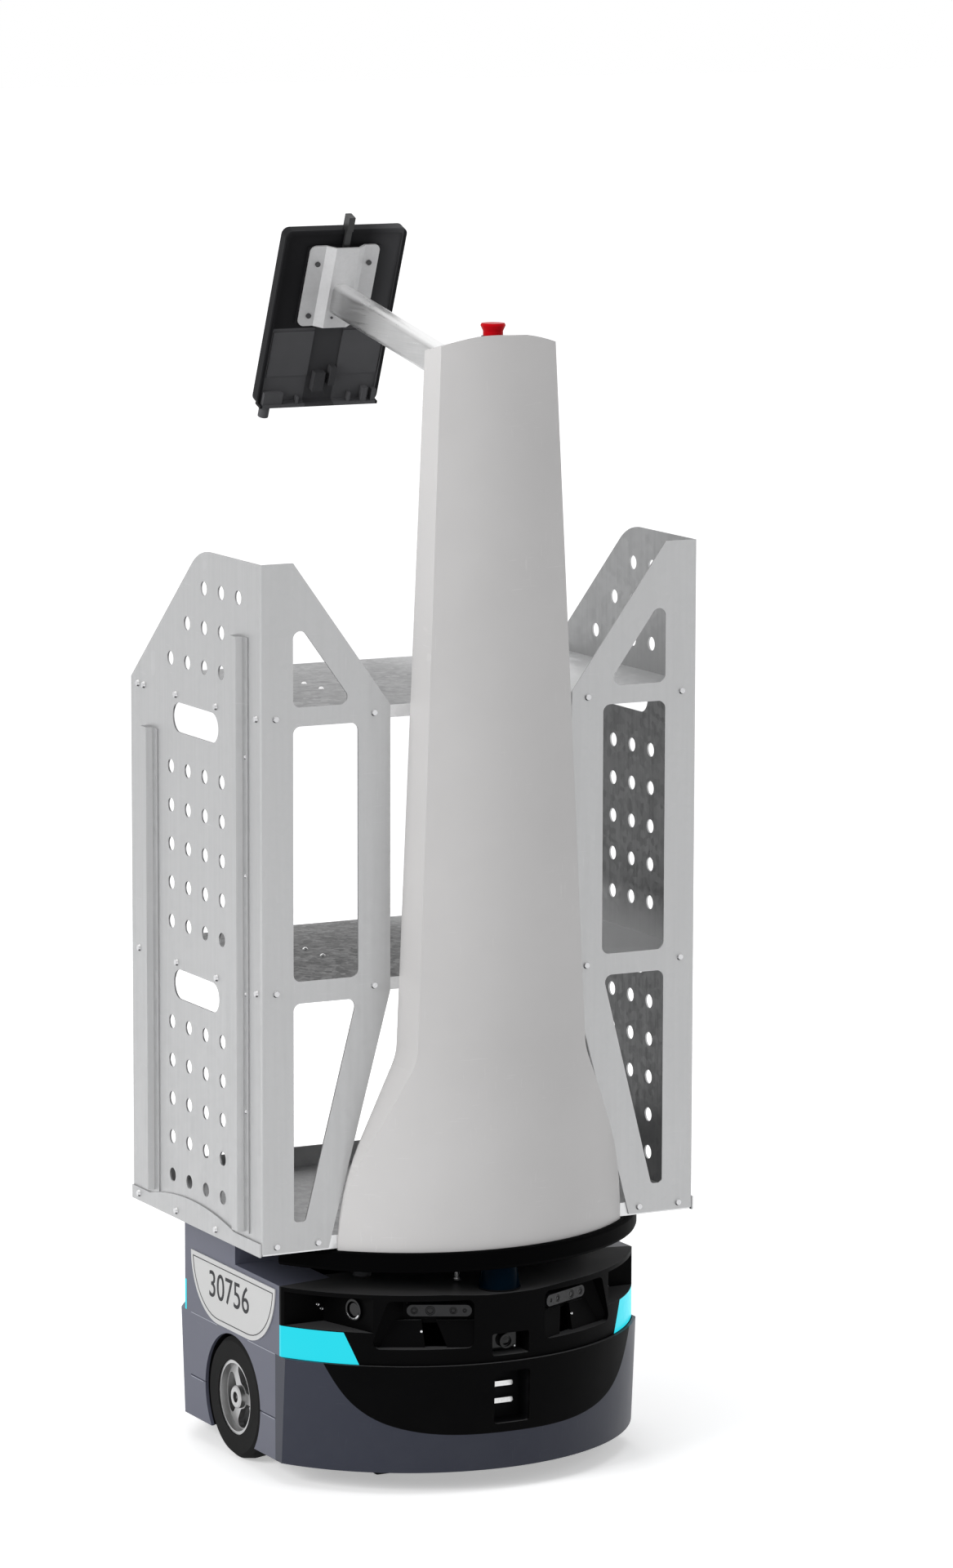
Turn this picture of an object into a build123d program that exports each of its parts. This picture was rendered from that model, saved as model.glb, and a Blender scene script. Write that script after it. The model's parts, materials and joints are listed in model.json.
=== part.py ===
from build123d import *
import math
import os

# Autonomous mobile robot: a round two-wheel drive base with a sensor deck, a moulded
# column with a stop button, a tablet on an arm, and a bent sheet-metal tote rack.
# Millimetres. +Z is up, the front faces -Y, the origin is on the floor at the base's centre.

# Base outline
FOOTPRINT_R = 272.0
SKIRT_BOTTOM_R = FOOTPRINT_R - 5.0
SHELL_R = FOOTPRINT_R - 5.5
FLAT_HALF = FOOTPRINT_R - 41.0
SHELL_WALL = 4.0
GROUND_CLEARANCE = 26.0
SEAM_Z = 153.0
SHELL_TOP_Z = 236.0
STEP_Y = -8.0
CORNER_INSET = 4.4
SIDE_SPLIT_Y = math.sqrt(SHELL_R**2 - FLAT_HALF**2) - CORNER_INSET
PANEL_SPLIT_Y = SIDE_SPLIT_Y - 11.5
INSERT_HALF = FLAT_HALF - 30.0
INSERT_DROP = 83.5
INSERT_EDGE = ((0.945, 0.282), (0.881, 0.52), (0.766, 0.757), (0.607, 0.904), (0.343, 0.989))
PANEL_GROOVE_Z = 76.0
PANEL_GROOVE = 1.4

# Deck and bumper ring
DECK_Z0 = 282.0
DECK_T = 6.0
DECK_FRONT_R = FOOTPRINT_R - 23.0
DECK_REAR_R = SHELL_R - 2.5
RING_FIT = 0.3
RING_Z0 = 263.0
RING_TOP_Z = 286.0
RING_CUT = 4.0
RING_LIP = 11.0
RING_HALF_ANGLE = 60.0
POST_R = 11.0
POST_FRONT = (120.0, -120.0)
POST_REAR = (150.0, 90.0)

# Chassis plate and drive
CHASSIS_Z0 = 118.0
CHASSIS_T = 6.0
WHEEL_R = 74.0
TYRE_W = 36.0
RIM_R = 44.5
RIM_BAND = 7.0
RIM_W = 33.0
WHEEL_RECESS = 2.0
ARCH_GAP = 2.0
HUB_R = 13.5
HUB_SOCKET_R = 6.5
HUB_SOCKET_DEPTH = 8.0
SPOKE_COUNT = 3
SPOKE_W = 13.0
SPOKE_T = 7.0
SPOKE_SUNK = 8.0
SPOKE_ROOT_R = 7.0
AXLE_R = 7.0
AXLE_REACH = 34.0
GEARBOX_R = 34.0
GEARBOX_L = 66.0
MOTOR_R = 29.0
MOTOR_L = 96.0
MOTOR_GAP = 7.0
MOTOR_SADDLE_W = 44.0
RUN_FIT = 0.05

# Casters
CASTER_X = 105.0
CASTER_Y = 160.0
CASTER_R = 30.0
CASTER_W = 22.0
CASTER_TRAIL = 22.0
FORK_T = 3.0
FORK_GAP = 1.0
FORK_CROWN_T = 4.0
FORK_HEAD_GAP = 5.0
FORK_NECK_R = 15.0
KINGPIN_R = 6.0
CASTER_AXLE_R = 5.0
CASTER_PLATE = 56.0
CASTER_PLATE_T = 4.0
CASTER_BOSS_R = 20.0
CASTER_BOSS_H = 14.0
SWIVEL_GAP = 0.3

# Sensors
CAM_YAW = 26.5
CAM_BAR_W = 75.0
CAM_BAR_H = 13.5
CAM_BAR_T = 16.0
CAM_BAR_X = -35.5
CAM_BAR_Z = 216.0
CAM_EYES = ((-29.4, 2.6), (-16.1, 4.3), (10.5, 5.6), (28.9, 4.3))
CAM_POCKET_DEPTH = 26.5
CAM_POCKET_IN_X = CAM_BAR_X - CAM_BAR_W / 2 - 3.0
CAM_POCKET_OUT_X = CAM_BAR_X + CAM_BAR_W / 2 + 4.0
CAM_POCKET_TOP_X = 24.0
CAM_POCKET_LOW_X = 44.0
CAM_POCKET_SLANT = (84.0, 44.0)
CAM_POCKET_Z0 = 172.0
CAM_POCKET_Z1 = 229.0
CAM_SHELF_Z = 202.0
CAM_SHELF_RUN = 6.0
CAM_FLOOR_RUN = 14.0
SLOT_X = -23.5
SLOT_W = 17.0
SIDE_POCKET_INNER_X = FLAT_HALF - 53.0
SIDE_POCKET_INNER_Y = SIDE_SPLIT_Y + 8.0
SIDE_POCKET_FRONT_X = FLAT_HALF - 77.5
SIDE_POCKET_FRONT_Y = SHELL_R - 49.5
SIDE_POCKET_Z0 = 191.0
SIDE_SENSOR_R = 12.5
SIDE_SENSOR_L = 16.0
SIDE_SENSOR_ALONG = 0.645
SIDE_SENSOR_Z = 214.0
POCKET_ROOF_T = 5.0
NOSE_W = 48.0
NOSE_H = 26.0
NOSE_Z = 173.0
NOSE_DEPTH = 26.0
NOSE_LENS_R = 8.5
LIDAR_Y = 36.0 - FOOTPRINT_R
LIDAR_CAN_R = 16.0
LIDAR_CAN_Z = 192.0
LIDAR_FOOT_T = 2.0
LIDAR_WINDOW_R0 = 24.0
LIDAR_WINDOW_R1 = 20.5
LIDAR_WINDOW_Z1 = 262.0
LIDAR_CORE_R = 14.0
TROUGH_HALF = 30.0
TROUGH_RUN = 50.0
TROUGH_DEPTH = 3.0
SENSOR_TOP_Y = -100.0
CHEEK_IN_X = FLAT_HALF - 71.0
CHEEK_IN_Y = 12.0 - SIDE_SPLIT_Y

# Charge port in the skirt insert
PORT_W = 46.0
PORT_H = 62.0
PORT_Z = 111.0
PORT_DEPTH = 31.0
PORT_WALL = 3.0
CONTACT_L = 26.0
CONTACT_H = 6.0
CONTACT_T = 6.0
CONTACT_PITCH = 20.0

# Light strips and number plates
STRIP_Z1 = 190.0
STRIP_TOP_X = FLAT_HALF - 50.0
STRIP_BOTTOM_X = FLAT_HALF - 64.0
STRIP_T = 3.0
PLATE_Y_REAR = SIDE_SPLIT_Y - 15.5
PLATE_Y_FRONT = 9.5 - SIDE_SPLIT_Y
PLATE_TOP_Z = 230.0
PLATE_BOTTOM_Z = 154.5
PLATE_T = 1.2

# Battery and controller inside the base
BATTERY = (200.0, 130.0, 90.0)
BATTERY_Y = 75.0
CONTROL = (150.0, 80.0, 60.0)
CONTROL_Y = -62.0

# Rack
SHEET = 2.0
RACK_HALF = 281.3
RACK_FRONT_Y = -188.2
RACK_REAR_Y = 168.0
RACK_Z0 = 290.0
RACK_TOP_Z = 1085.2
SHELF_Z = (916.0, 600.0)
TRAY_Z = 304.0
SIDE_SLOPE_Z = SHELF_Z[0] - 1.0
SIDE_CREST_Y = -24.2
SIDE_CREST_R = 75.0
FRAME_TOP_X = RACK_HALF - 41.3
FRAME_IN_X = 117.5
FRAME_IN_TOP_Z = SHELF_Z[0] + 0.7
FRAME_IN_LOW_Z = SHELF_Z[1] - 15.0
FRAME_FOOT_X = 196.5
FRAME_BEND_R = 2.4
WINDOW_X = RACK_HALF - 40.8
WINDOW_IN_X = FRAME_IN_X + 41.0
WINDOW_TIP_X = FRAME_FOOT_X + 29.5
WINDOW_R = 9.0
WINDOW_TIP_R = 5.0
WINDOW_TOP_DROP = 59.2
WINDOW_OVER_SHELF = 4.2
WINDOW_UNDER_SHELF = (17.5, 21.0)
WINDOW_OVER_TRAY = 20.0
HOLE_R = 8.3
HOLE_PITCH_Y = 46.4
HOLE_PITCH_Z = 45.85
HOLE_Y0 = RACK_REAR_Y - 111.7
HOLE_LOW_Z = TRAY_Z + 32.5
HOLE_MID_Z = SHELF_Z[1] + 39.6
HOLE_HIGH_Z = SHELF_Z[0] + 33.8
HANDLE_L = 125.0
HANDLE_H = 35.0
HANDLE_Y = -12.3
HANDLE_DROP = (33.0, 32.0)
SHELF_LIP = 14.5
TRAY_UPSTAND = 24.0
SHELF_REAR_GAP = 2.0
RAIL_PROUD = 9.0
RAIL_BOX = 21.0
RAIL_FLANGE = 13.0
RAIL_FLANGE_T = 1.5
RAIL_RAMP = 4.0
FRONT_RAIL_Y = -122.0
FRONT_RAIL_Z = (309.0, 999.0)
REAR_RAIL_Y = 126.0
REAR_RAIL_Z = (309.0, 862.0)
KICK_T = 2.2
KICK_Z0 = 287.0
KICK_SHOULDER_Z = 303.0
KICK_CREST_Z = 317.0
KICK_ARCH_HALF = 118.0
BOLT_R = 4.2
BOLT_TOP_R = 3.2
BOLT_H = 2.4
BOLT_OUTER_INSET = 18.8
BOLT_INNER_INSET = 20.6
BOLT_FOOT_INSET = 13.5
BOLT_FROM_REAR = (19.8, 36.1, 125.7, 235.8, 344.2)
FOOT_BOLT_Z = 298.0
FOOT_BOLT_FROM_REAR = (19.8, 125.7, 235.8)
FOOT_BOLT_DROP = 2.0

# Column
COL_BACK_Y = RACK_FRONT_Y + SHEET
COL_R = FOOTPRINT_R - 8.0
COL_TOP_R = COL_R - 25.5
COL_WAIST_Z = 535.0
COL_FOOT_HALF = 184.5
COL_SHOULDER_Z = 351.0
COL_KNEE_HALF = 109.0
COL_KNEE_Z = 509.0
COL_TOP_HALF = 73.0
COL_TOP_Z = 1327.0
COL_CROWN = 10.0
COL_FLARE_R = 286.0
COL_KNEE_R = 60.0
COL_TOP_SLOPE = 11.0
COL_WALL = 3.0
BACK_COVER_T = 2.3
SPINE_W = 60.0
SPINE_D = 30.0
SPINE_WALL = 3.0
SPINE_TOP_Z = 1290.0

# Stop button
STOP_Y = -213.0
STOP_HEAD_R = 14.5
STOP_SKIRT_R = 11.5
STOP_SKIRT_H = 5.0
STOP_HEAD_H = 14.0
STOP_HEAD_WALL = 2.0
STOP_TRAVEL = 4.0
STOP_COLLAR_R = 9.3
STOP_STEM_R = 4.0
STOP_SWITCH_H = 34.0
STOP_BASE_R = 13.6
STOP_RIM = 1.0
STOP_HEAD_GAP = 0.5

# Arm and tablet
ARM_W = 22.0
ARM_H = 38.5
ARM_WALL = 3.0
ARM_EDGE_R = 8.0
ARM_SLOPE = 11.05
ARM_AT_Y = 189.0
ARM_AT_Z = 1348.1
ARM_ROOT_Y = -214.0
TAB_Y = 204.3
TAB_Z = 1324.1
TAB_TILT = 22.25
TAB_W = 160.0
TAB_H = 231.0
TAB_T = 14.0
TAB_CORNER = 9.0
TAB_LIP = 4.0
TAB_BACK_WALL = 2.0
TAB_BACK_RECESS = 2.5
TAB_FIT = 0.3
GLASS_T = 1.2
PAD_Z1 = -18.0
PAD_Z0 = -77.0
PAD_INNER = 19.0
PAD_OUTER = 73.0
PAD_T = 1.4
LEDGE_T = 3.5
LEDGE_D = 7.0
STUD_X = -68.0
STUD_R = 6.5
STUD_L = 14.0
HAT_W = 91.0
HAT_H = 105.0
HAT_V = 43.7
HAT_T = 2.5
HAT_RISE = 7.5
HAT_TOP_HALF = 15.2
HAT_FOOT_HALF = 25.7
HAT_CORNER = 8.0
HAT_SCREW_X = 33.7
HAT_SCREW_LOW = 5.0
HAT_SCREW_HIGH = 73.0
SCREW_R = 3.2
SCREW_H = 2.0
LATCH_W = 8.0
LATCH_T = 3.6
LATCH_V0 = 58.0
LATCH_V1 = 134.0

BIG = 2000.0


def save(shape, node):
    """Write one node as a STEP file under parts/."""
    export_step(shape, f"parts/{node}.step")


def box(x0, x1, y0, y1, z0, z1):
    """A box from its low and high corner values."""
    size = Box(x1 - x0, y1 - y0, z1 - z0)
    return Pos((x0 + x1) / 2, (y0 + y1) / 2, (z0 + z1) / 2) * size


def group(solids):
    """Several separate solids as one shape."""
    return Compound(children=[s for shape in solids for s in shape.solids()])


def turned(points):
    """A solid of revolution about Z from (radius, z) points."""
    return revolve(Plane.XZ * make_face(Polyline(*points, close=True)), Axis.Z)


def along_y(face, y0, y1):
    """Extrude a face drawn as (x, z) from y1 down to y0."""
    return extrude(Plane(origin=(0, y1, 0), x_dir=(1, 0, 0), z_dir=(0, -1, 0)) * face, y1 - y0)


def along_x(face, x0, x1):
    """Extrude a face drawn as (y, z) from x0 up to x1."""
    return extrude(Plane(origin=(x0, 0, 0), x_dir=(0, 1, 0), z_dir=(1, 0, 0)) * face, x1 - x0)


def both_sides(shape):
    """The shape and its mirror image across the centre plane."""
    return shape, mirror(shape, Plane.YZ)


# Base shells: round with a flat on each side
def flat_sided(r0, r1, z0, z1, inset=0.0):
    """A slightly tapered round body with flat sides, made smaller by the inset."""
    body = turned([(0, z0), (r0 - inset, z0), (r1 - inset, z1), (0, z1)])
    half = FLAT_HALF - inset
    return body & box(-half, half, -BIG, BIG, z0, z1)


def skirt_ring():
    """The whole lower skirt before it is divided into panels."""
    outer = flat_sided(SKIRT_BOTTOM_R, FOOTPRINT_R, GROUND_CLEARANCE, SEAM_Z)
    return outer - flat_sided(SKIRT_BOTTOM_R, FOOTPRINT_R, GROUND_CLEARANCE, SEAM_Z, SHELL_WALL)


def insert_prism():
    """The round-bottomed outline of the dark panel in the front skirt."""
    half = INSERT_HALF
    side = [(-half * share, SEAM_Z - INSERT_DROP * fall) for share, fall in INSERT_EDGE]
    low = (0, SEAM_Z - INSERT_DROP)
    far_side = [(-x, z) for x, z in reversed(side)]
    curve = Spline((-half, SEAM_Z), *side, low, *far_side, (half, SEAM_Z))
    return along_y(make_face([curve, Line((half, SEAM_Z), (-half, SEAM_Z))]), -BIG, -SIDE_SPLIT_Y)


def port_face(grow=0.0):
    """Outline of the charge port."""
    return Pos(0, PORT_Z) * RectangleRounded(PORT_W + 2 * grow, PORT_H + 2 * grow, 4.0)


def front_skirt(ring, prism):
    return (ring & box(-BIG, BIG, -BIG, -PANEL_SPLIT_Y, 0, SEAM_Z)) - prism


def skirt_insert(ring, prism):
    return (ring & prism) - along_y(port_face(), -BIG, 0)


def rear_skirt(ring):
    return ring & box(-BIG, BIG, PANEL_SPLIT_Y, BIG, 0, SEAM_Z)


def side_panel(ring):
    """Right side panel with the wheel arch and the moulded groove."""
    panel = ring & box(0, BIG, -PANEL_SPLIT_Y, PANEL_SPLIT_Y, 0, SEAM_Z)
    arch = along_x(Pos(0, WHEEL_R) * Circle(WHEEL_R + ARCH_GAP), 0, BIG)
    groove_low = PANEL_GROOVE_Z - PANEL_GROOVE / 2
    groove_x = FLAT_HALF - PANEL_GROOVE
    groove = box(groove_x, BIG, -BIG, BIG, groove_low, groove_low + PANEL_GROOVE)
    return panel - arch - groove


def light_outline(y_side):
    """Outline of a light strip seen from the front: slanted inner end."""
    corners = [(BIG, SEAM_Z), (STRIP_BOTTOM_X, SEAM_Z), (STRIP_TOP_X, STRIP_Z1), (BIG, STRIP_Z1)]
    face = make_face(Polyline(*corners, close=True))
    if y_side < 0:
        return along_y(face, -BIG, -SIDE_SPLIT_Y)
    return along_y(face, SIDE_SPLIT_Y, BIG)


def shell_band(z1):
    """Upper shell wall from the seam to a height."""
    outer = flat_sided(SHELL_R, SHELL_R, SEAM_Z, z1)
    return outer - flat_sided(SHELL_R, SHELL_R, SEAM_Z, z1, SHELL_WALL)


def light_strips():
    """Four translucent strips let into the shell, one by each corner."""
    outer = flat_sided(SHELL_R, SHELL_R, SEAM_Z, STRIP_Z1)
    band = outer - flat_sided(SHELL_R, SHELL_R, SEAM_Z, STRIP_Z1, STRIP_T)
    strips = []
    for y_side in (-1, 1):
        strips += both_sides(band & light_outline(y_side))
    return strips


def cheek_top():
    """Plan of the lighter top corner beside the sensor shell, right side."""
    corner_y = -SIDE_SPLIT_Y
    points = [
        (CHEEK_IN_X, STEP_Y),
        (CHEEK_IN_X, CHEEK_IN_Y),
        (FLAT_HALF - SHELL_WALL, corner_y),
        (FLAT_HALF, corner_y),
        (FLAT_HALF, STEP_Y),
    ]
    return make_face(Polyline(*points, close=True))


def rear_shell(strips):
    """Raised rear shell, the step wall and the two lower cheeks beside it."""
    high = shell_band(DECK_Z0) & box(-BIG, BIG, STEP_Y, BIG, 0, BIG)
    low = shell_band(SHELL_TOP_Z) & box(-BIG, BIG, -SIDE_SPLIT_Y, STEP_Y, 0, BIG)
    step = box(-FLAT_HALF, FLAT_HALF, STEP_Y, STEP_Y + SHELL_WALL, SHELL_TOP_Z - SHELL_WALL, DECK_Z0)
    shell = high + low + step
    cheek = extrude(Pos(0, 0, SHELL_TOP_Z - SHELL_WALL) * cheek_top(), SHELL_WALL)
    for part in both_sides(cheek):
        shell = shell + part
    for strip in strips:
        shell = shell - strip
    return shell


# Front sensor shell with its pockets
def camera_frame():
    """Rotation that carries a pocket drawn at the front to the right camera's place."""
    return Rot(0, 0, CAM_YAW)


def camera_pocket(grow=0.0):
    """Recess for the right camera: shelf, sloping floor, level lip and a slanted outer wall."""
    back = grow - (SHELL_R - CAM_POCKET_DEPTH)
    low = CAM_POCKET_Z0 - grow
    top = CAM_POCKET_Z1 + grow
    shelf = CAM_SHELF_Z - grow
    profile = [
        (back, top),
        (back, shelf),
        (back - CAM_SHELF_RUN, shelf),
        (back - CAM_FLOOR_RUN, low),
        (-SHELL_R - 40, low),
        (-SHELL_R - 40, top),
    ]
    block = along_x(make_face(Polyline(*profile, close=True)), -SHELL_R, SHELL_R)
    inner = CAM_POCKET_IN_X - grow
    outer = CAM_POCKET_OUT_X + grow / 2
    run, rise = CAM_POCKET_SLANT
    plan = [
        (inner, -SHELL_R - 40),
        (inner, back),
        (outer, back),
        (outer + run, back - rise),
        (outer + run, -SHELL_R - 40),
    ]
    plan_block = extrude(Pos(0, 0, low) * make_face(Polyline(*plan, close=True)), top - low)
    front = [
        (inner, low),
        (inner, top),
        (CAM_POCKET_TOP_X + grow, top),
        (CAM_POCKET_LOW_X + grow, low),
    ]
    front_face = make_face(Polyline(*front, close=True))
    front_face = fillet(front_face.vertices(), 8.0)
    return block & plan_block & along_y(front_face, -BIG, 0)


def camera_slot():
    """Narrow notch in the pocket's sloping floor."""
    half = SLOT_W / 2
    top = [(SLOT_X - half, CAM_SHELF_Z), (SLOT_X + half, CAM_SHELF_Z)]
    points = top + [(SLOT_X + half / 2, CAM_POCKET_Z0), (SLOT_X - 2.5 * half, CAM_POCKET_Z0)]
    y1 = CAM_POCKET_DEPTH - SHELL_R
    return along_y(make_face(Polyline(*points, close=True)), -SHELL_R - 6, y1)


def side_pocket(grow=0.0):
    """Deep notch at the right front corner that opens the side sensor's view."""
    points = [
        (FLAT_HALF + 40, -SIDE_POCKET_INNER_Y + grow),
        (SIDE_POCKET_INNER_X - grow, -SIDE_POCKET_INNER_Y + grow),
        (SIDE_POCKET_FRONT_X - grow, -SIDE_POCKET_FRONT_Y),
        (SIDE_POCKET_FRONT_X - grow, -SHELL_R - 40),
        (FLAT_HALF + 40, -SHELL_R - 40),
    ]
    face = make_face(Polyline(*points, close=True))
    z0 = SIDE_POCKET_Z0 - grow
    return extrude(Pos(0, 0, z0) * face, SHELL_TOP_Z - POCKET_ROOF_T + grow - z0)


def nose_face(grow=0.0):
    return Pos(0, NOSE_Z) * RectangleRounded(NOSE_W + 2 * grow, NOSE_H + 2 * grow, 3.0)


def sensor_shell(strips, cheeks, posts):
    """Dark front shell: wall, roof, pocket tubs, then the pockets cut open."""
    outer = flat_sided(SHELL_R, SHELL_R, SEAM_Z, SHELL_TOP_Z)
    front = box(-BIG, BIG, -BIG, -SIDE_SPLIT_Y, 0, BIG)
    wall = shell_band(SHELL_TOP_Z) & front
    roof = outer & box(-BIG, BIG, -BIG, SENSOR_TOP_Y, SHELL_TOP_Z - SHELL_WALL, SHELL_TOP_Z)
    shell = wall + roof
    nose_back = -(SHELL_R - NOSE_DEPTH)
    nose = along_y(nose_face(), -BIG, nose_back)
    tubs = [along_y(nose_face(SHELL_WALL), -BIG, nose_back + SHELL_WALL)]
    pockets = [nose]
    tubs += both_sides(camera_frame() * camera_pocket(SHELL_WALL))
    tubs += both_sides(side_pocket(SHELL_WALL))
    pockets += both_sides(camera_frame() * camera_pocket())
    pockets += both_sides(camera_frame() * camera_slot())
    pockets += both_sides(side_pocket())
    for tub in tubs:
        shell = shell + (tub & outer)
    for pocket in pockets:
        shell = shell - pocket
    for cheek in cheeks:
        shell = shell - cheek
    for strip in strips:
        shell = shell - strip
    trough = [
        (-TROUGH_HALF - TROUGH_RUN, SHELL_TOP_Z),
        (-TROUGH_HALF, SHELL_TOP_Z - TROUGH_DEPTH),
        (TROUGH_HALF, SHELL_TOP_Z - TROUGH_DEPTH),
        (TROUGH_HALF + TROUGH_RUN, SHELL_TOP_Z),
    ]
    cut = along_y(make_face(Polyline(*trough, close=True)), -BIG, SENSOR_TOP_Y)
    floor = Pos(0, 0, -SHELL_WALL) * (cut & outer)
    shell = shell + (floor & outer) - cut
    shell = shell - Pos(0, LIDAR_Y, SHELL_TOP_Z) * Cylinder(LIDAR_CAN_R, 6 * SHELL_WALL)
    for post in posts:
        shell = shell - post
    return shell


def depth_cameras():
    """Two camera bars, each with rounded ends and a row of eye recesses."""
    y_back = CAM_POCKET_DEPTH - SHELL_R
    y_front = y_back - CAM_BAR_T
    face = Pos(CAM_BAR_X, CAM_BAR_Z) * RectangleRounded(CAM_BAR_W, CAM_BAR_H, CAM_BAR_H / 2 - 0.1)
    bar = along_y(face, y_front, y_back)
    for x, eye_r in CAM_EYES:
        eye = Pos(CAM_BAR_X + x, CAM_BAR_Z) * Circle(eye_r)
        bar = bar - along_y(eye, -BIG, y_front + 1.5)
    return both_sides(camera_frame() * bar)


def side_sensors():
    """Round side-looking sensors seated on the slanted pocket walls."""
    inner = Vector(SIDE_POCKET_INNER_X, -SIDE_POCKET_INNER_Y, SIDE_SENSOR_Z)
    front = Vector(SIDE_POCKET_FRONT_X, -SIDE_POCKET_FRONT_Y, SIDE_SENSOR_Z)
    run = front - inner
    normal = Vector(-run.Y, run.X, 0).normalized()
    centre = inner + run * SIDE_SENSOR_ALONG
    seat = Plane(origin=centre, x_dir=run, z_dir=normal)
    ring = extrude(seat * Circle(SIDE_SENSOR_R), SIDE_SENSOR_L / 4)
    lens = extrude(seat * Circle(SIDE_SENSOR_R * 0.62), SIDE_SENSOR_L / 8)
    dome = extrude(seat * Circle(SIDE_SENSOR_R * 0.8), SIDE_SENSOR_L / 4) - lens
    return both_sides(ring - dome)


def nose_camera():
    """Small forward camera on the back wall of the nose pocket."""
    back = -(SHELL_R - NOSE_DEPTH)
    body = along_y(Pos(0, NOSE_Z) * RectangleRounded(NOSE_W - 16, NOSE_H - 5, 2.0), back - 8, back)
    barrel = along_y(Pos(0, NOSE_Z) * Circle(NOSE_LENS_R), back - 14, back)
    glass = along_y(Pos(0, NOSE_Z) * Circle(NOSE_LENS_R - 2), back - 20, back - 12)
    return body + barrel - glass


def lidar_floor():
    """Height of the dip in the sensor shell's roof, where the scanner stands."""
    return SHELL_TOP_Z - TROUGH_DEPTH


def lidar_body():
    """Scanner: can through the roof, foot, core inside the window and cap under the ring."""
    foot = lidar_floor()
    profile = [
        (0, LIDAR_CAN_Z),
        (LIDAR_CAN_R, LIDAR_CAN_Z),
        (LIDAR_CAN_R, foot),
        (LIDAR_WINDOW_R0 + 1, foot),
        (LIDAR_WINDOW_R0 + 1, foot + LIDAR_FOOT_T),
        (LIDAR_CORE_R, foot + LIDAR_FOOT_T),
        (LIDAR_CORE_R, LIDAR_WINDOW_Z1),
        (LIDAR_WINDOW_R1, LIDAR_WINDOW_Z1),
        (LIDAR_WINDOW_R1, RING_Z0),
        (0, RING_Z0),
    ]
    return Pos(0, LIDAR_Y, 0) * turned(profile)


def lidar_window():
    low = lidar_floor() + LIDAR_FOOT_T
    profile = [
        (LIDAR_CORE_R, low),
        (LIDAR_WINDOW_R0, low),
        (LIDAR_WINDOW_R1, LIDAR_WINDOW_Z1),
        (LIDAR_CORE_R, LIDAR_WINDOW_Z1),
    ]
    return Pos(0, LIDAR_Y, 0) * turned(profile)


# Charge port
def port_back_y():
    """Back of the port box, behind the skirt insert."""
    return -FOOTPRINT_R + SHELL_WALL + PORT_DEPTH


def port_block():
    """Outside of the port box, up against the inside of the skirt insert."""
    room = flat_sided(SKIRT_BOTTOM_R, FOOTPRINT_R, GROUND_CLEARANCE, SEAM_Z, SHELL_WALL)
    return along_y(port_face(PORT_WALL), -BIG, port_back_y()) & room


def port_housing():
    """Open-fronted box behind the opening in the skirt insert."""
    return port_block() - along_y(port_face(), -BIG, port_back_y() - PORT_WALL)


def charge_contacts():
    """Two metal contact bars on the port's back wall."""
    wall_y = port_back_y() - PORT_WALL
    bars = []
    for z in (-CONTACT_PITCH / 2, CONTACT_PITCH / 2):
        face = Pos(0, PORT_Z + z) * RectangleRounded(CONTACT_L, CONTACT_H, 2.5)
        bars.append(along_y(face, wall_y - CONTACT_T, wall_y))
    return bars


# Chassis, deck and ring
def wheel_inner_x():
    return FLAT_HALF - WHEEL_RECESS - TYRE_W


def chassis_plate():
    """Flat-sided plate with wheel notches, cut out round the charge port."""
    room = flat_sided(SKIRT_BOTTOM_R, FOOTPRINT_R, GROUND_CLEARANCE, SEAM_Z, SHELL_WALL)
    plate = room & box(-BIG, BIG, -BIG, BIG, CHASSIS_Z0, CHASSIS_Z0 + CHASSIS_T)
    plate = plate - port_block()
    notch = box(wheel_inner_x() - 6, BIG, -WHEEL_R - 6, WHEEL_R + 6, 0, BIG)
    for cut in both_sides(notch):
        plate = plate - cut
    return plate


def deck_posts():
    """Four round posts that carry the deck from the chassis plate."""
    posts = []
    low = CHASSIS_Z0 + CHASSIS_T
    for x, y in (POST_FRONT, POST_REAR):
        posts += both_sides(Pos(x, y, (low + DECK_Z0) / 2) * Cylinder(POST_R, DECK_Z0 - low))
    return posts


def deck_plate():
    """Load deck: full round at the rear, smaller inside the ring at the front."""
    rear = flat_sided(DECK_REAR_R, DECK_REAR_R, DECK_Z0, DECK_Z0 + DECK_T)
    front = flat_sided(DECK_FRONT_R, DECK_FRONT_R, DECK_Z0, DECK_Z0 + DECK_T)
    rear = rear & box(-BIG, BIG, STEP_Y, BIG, 0, BIG)
    front = front & box(-BIG, BIG, -BIG, STEP_Y, 0, BIG)
    return rear + front


def bumper_ring():
    """Rubber ring round the front of the deck, with a lip under the deck's edge."""
    inner = DECK_FRONT_R + RING_FIT
    cut = RING_CUT
    round_cut = RING_CUT * 0.3
    section = [
        (DECK_FRONT_R - RING_LIP, RING_Z0 + 5),
        (inner, RING_Z0 + 5),
        (inner, RING_Z0 + round_cut),
        (inner + round_cut, RING_Z0),
        (FOOTPRINT_R - cut, RING_Z0),
        (FOOTPRINT_R - round_cut, RING_Z0 + round_cut),
        (FOOTPRINT_R, RING_Z0 + cut),
        (FOOTPRINT_R, RING_TOP_Z - cut),
        (FOOTPRINT_R - round_cut, RING_TOP_Z - round_cut),
        (FOOTPRINT_R - cut, RING_TOP_Z),
        (inner + cut, RING_TOP_Z),
        (inner + round_cut, RING_TOP_Z - round_cut),
        (inner, DECK_Z0),
        (DECK_FRONT_R - RING_LIP, DECK_Z0),
    ]
    start = Rot(0, 0, -90 - RING_HALF_ANGLE) * (Plane.XZ * make_face(Polyline(*section, close=True)))
    return revolve(start, Axis.Z, 2 * RING_HALF_ANGLE)


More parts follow.
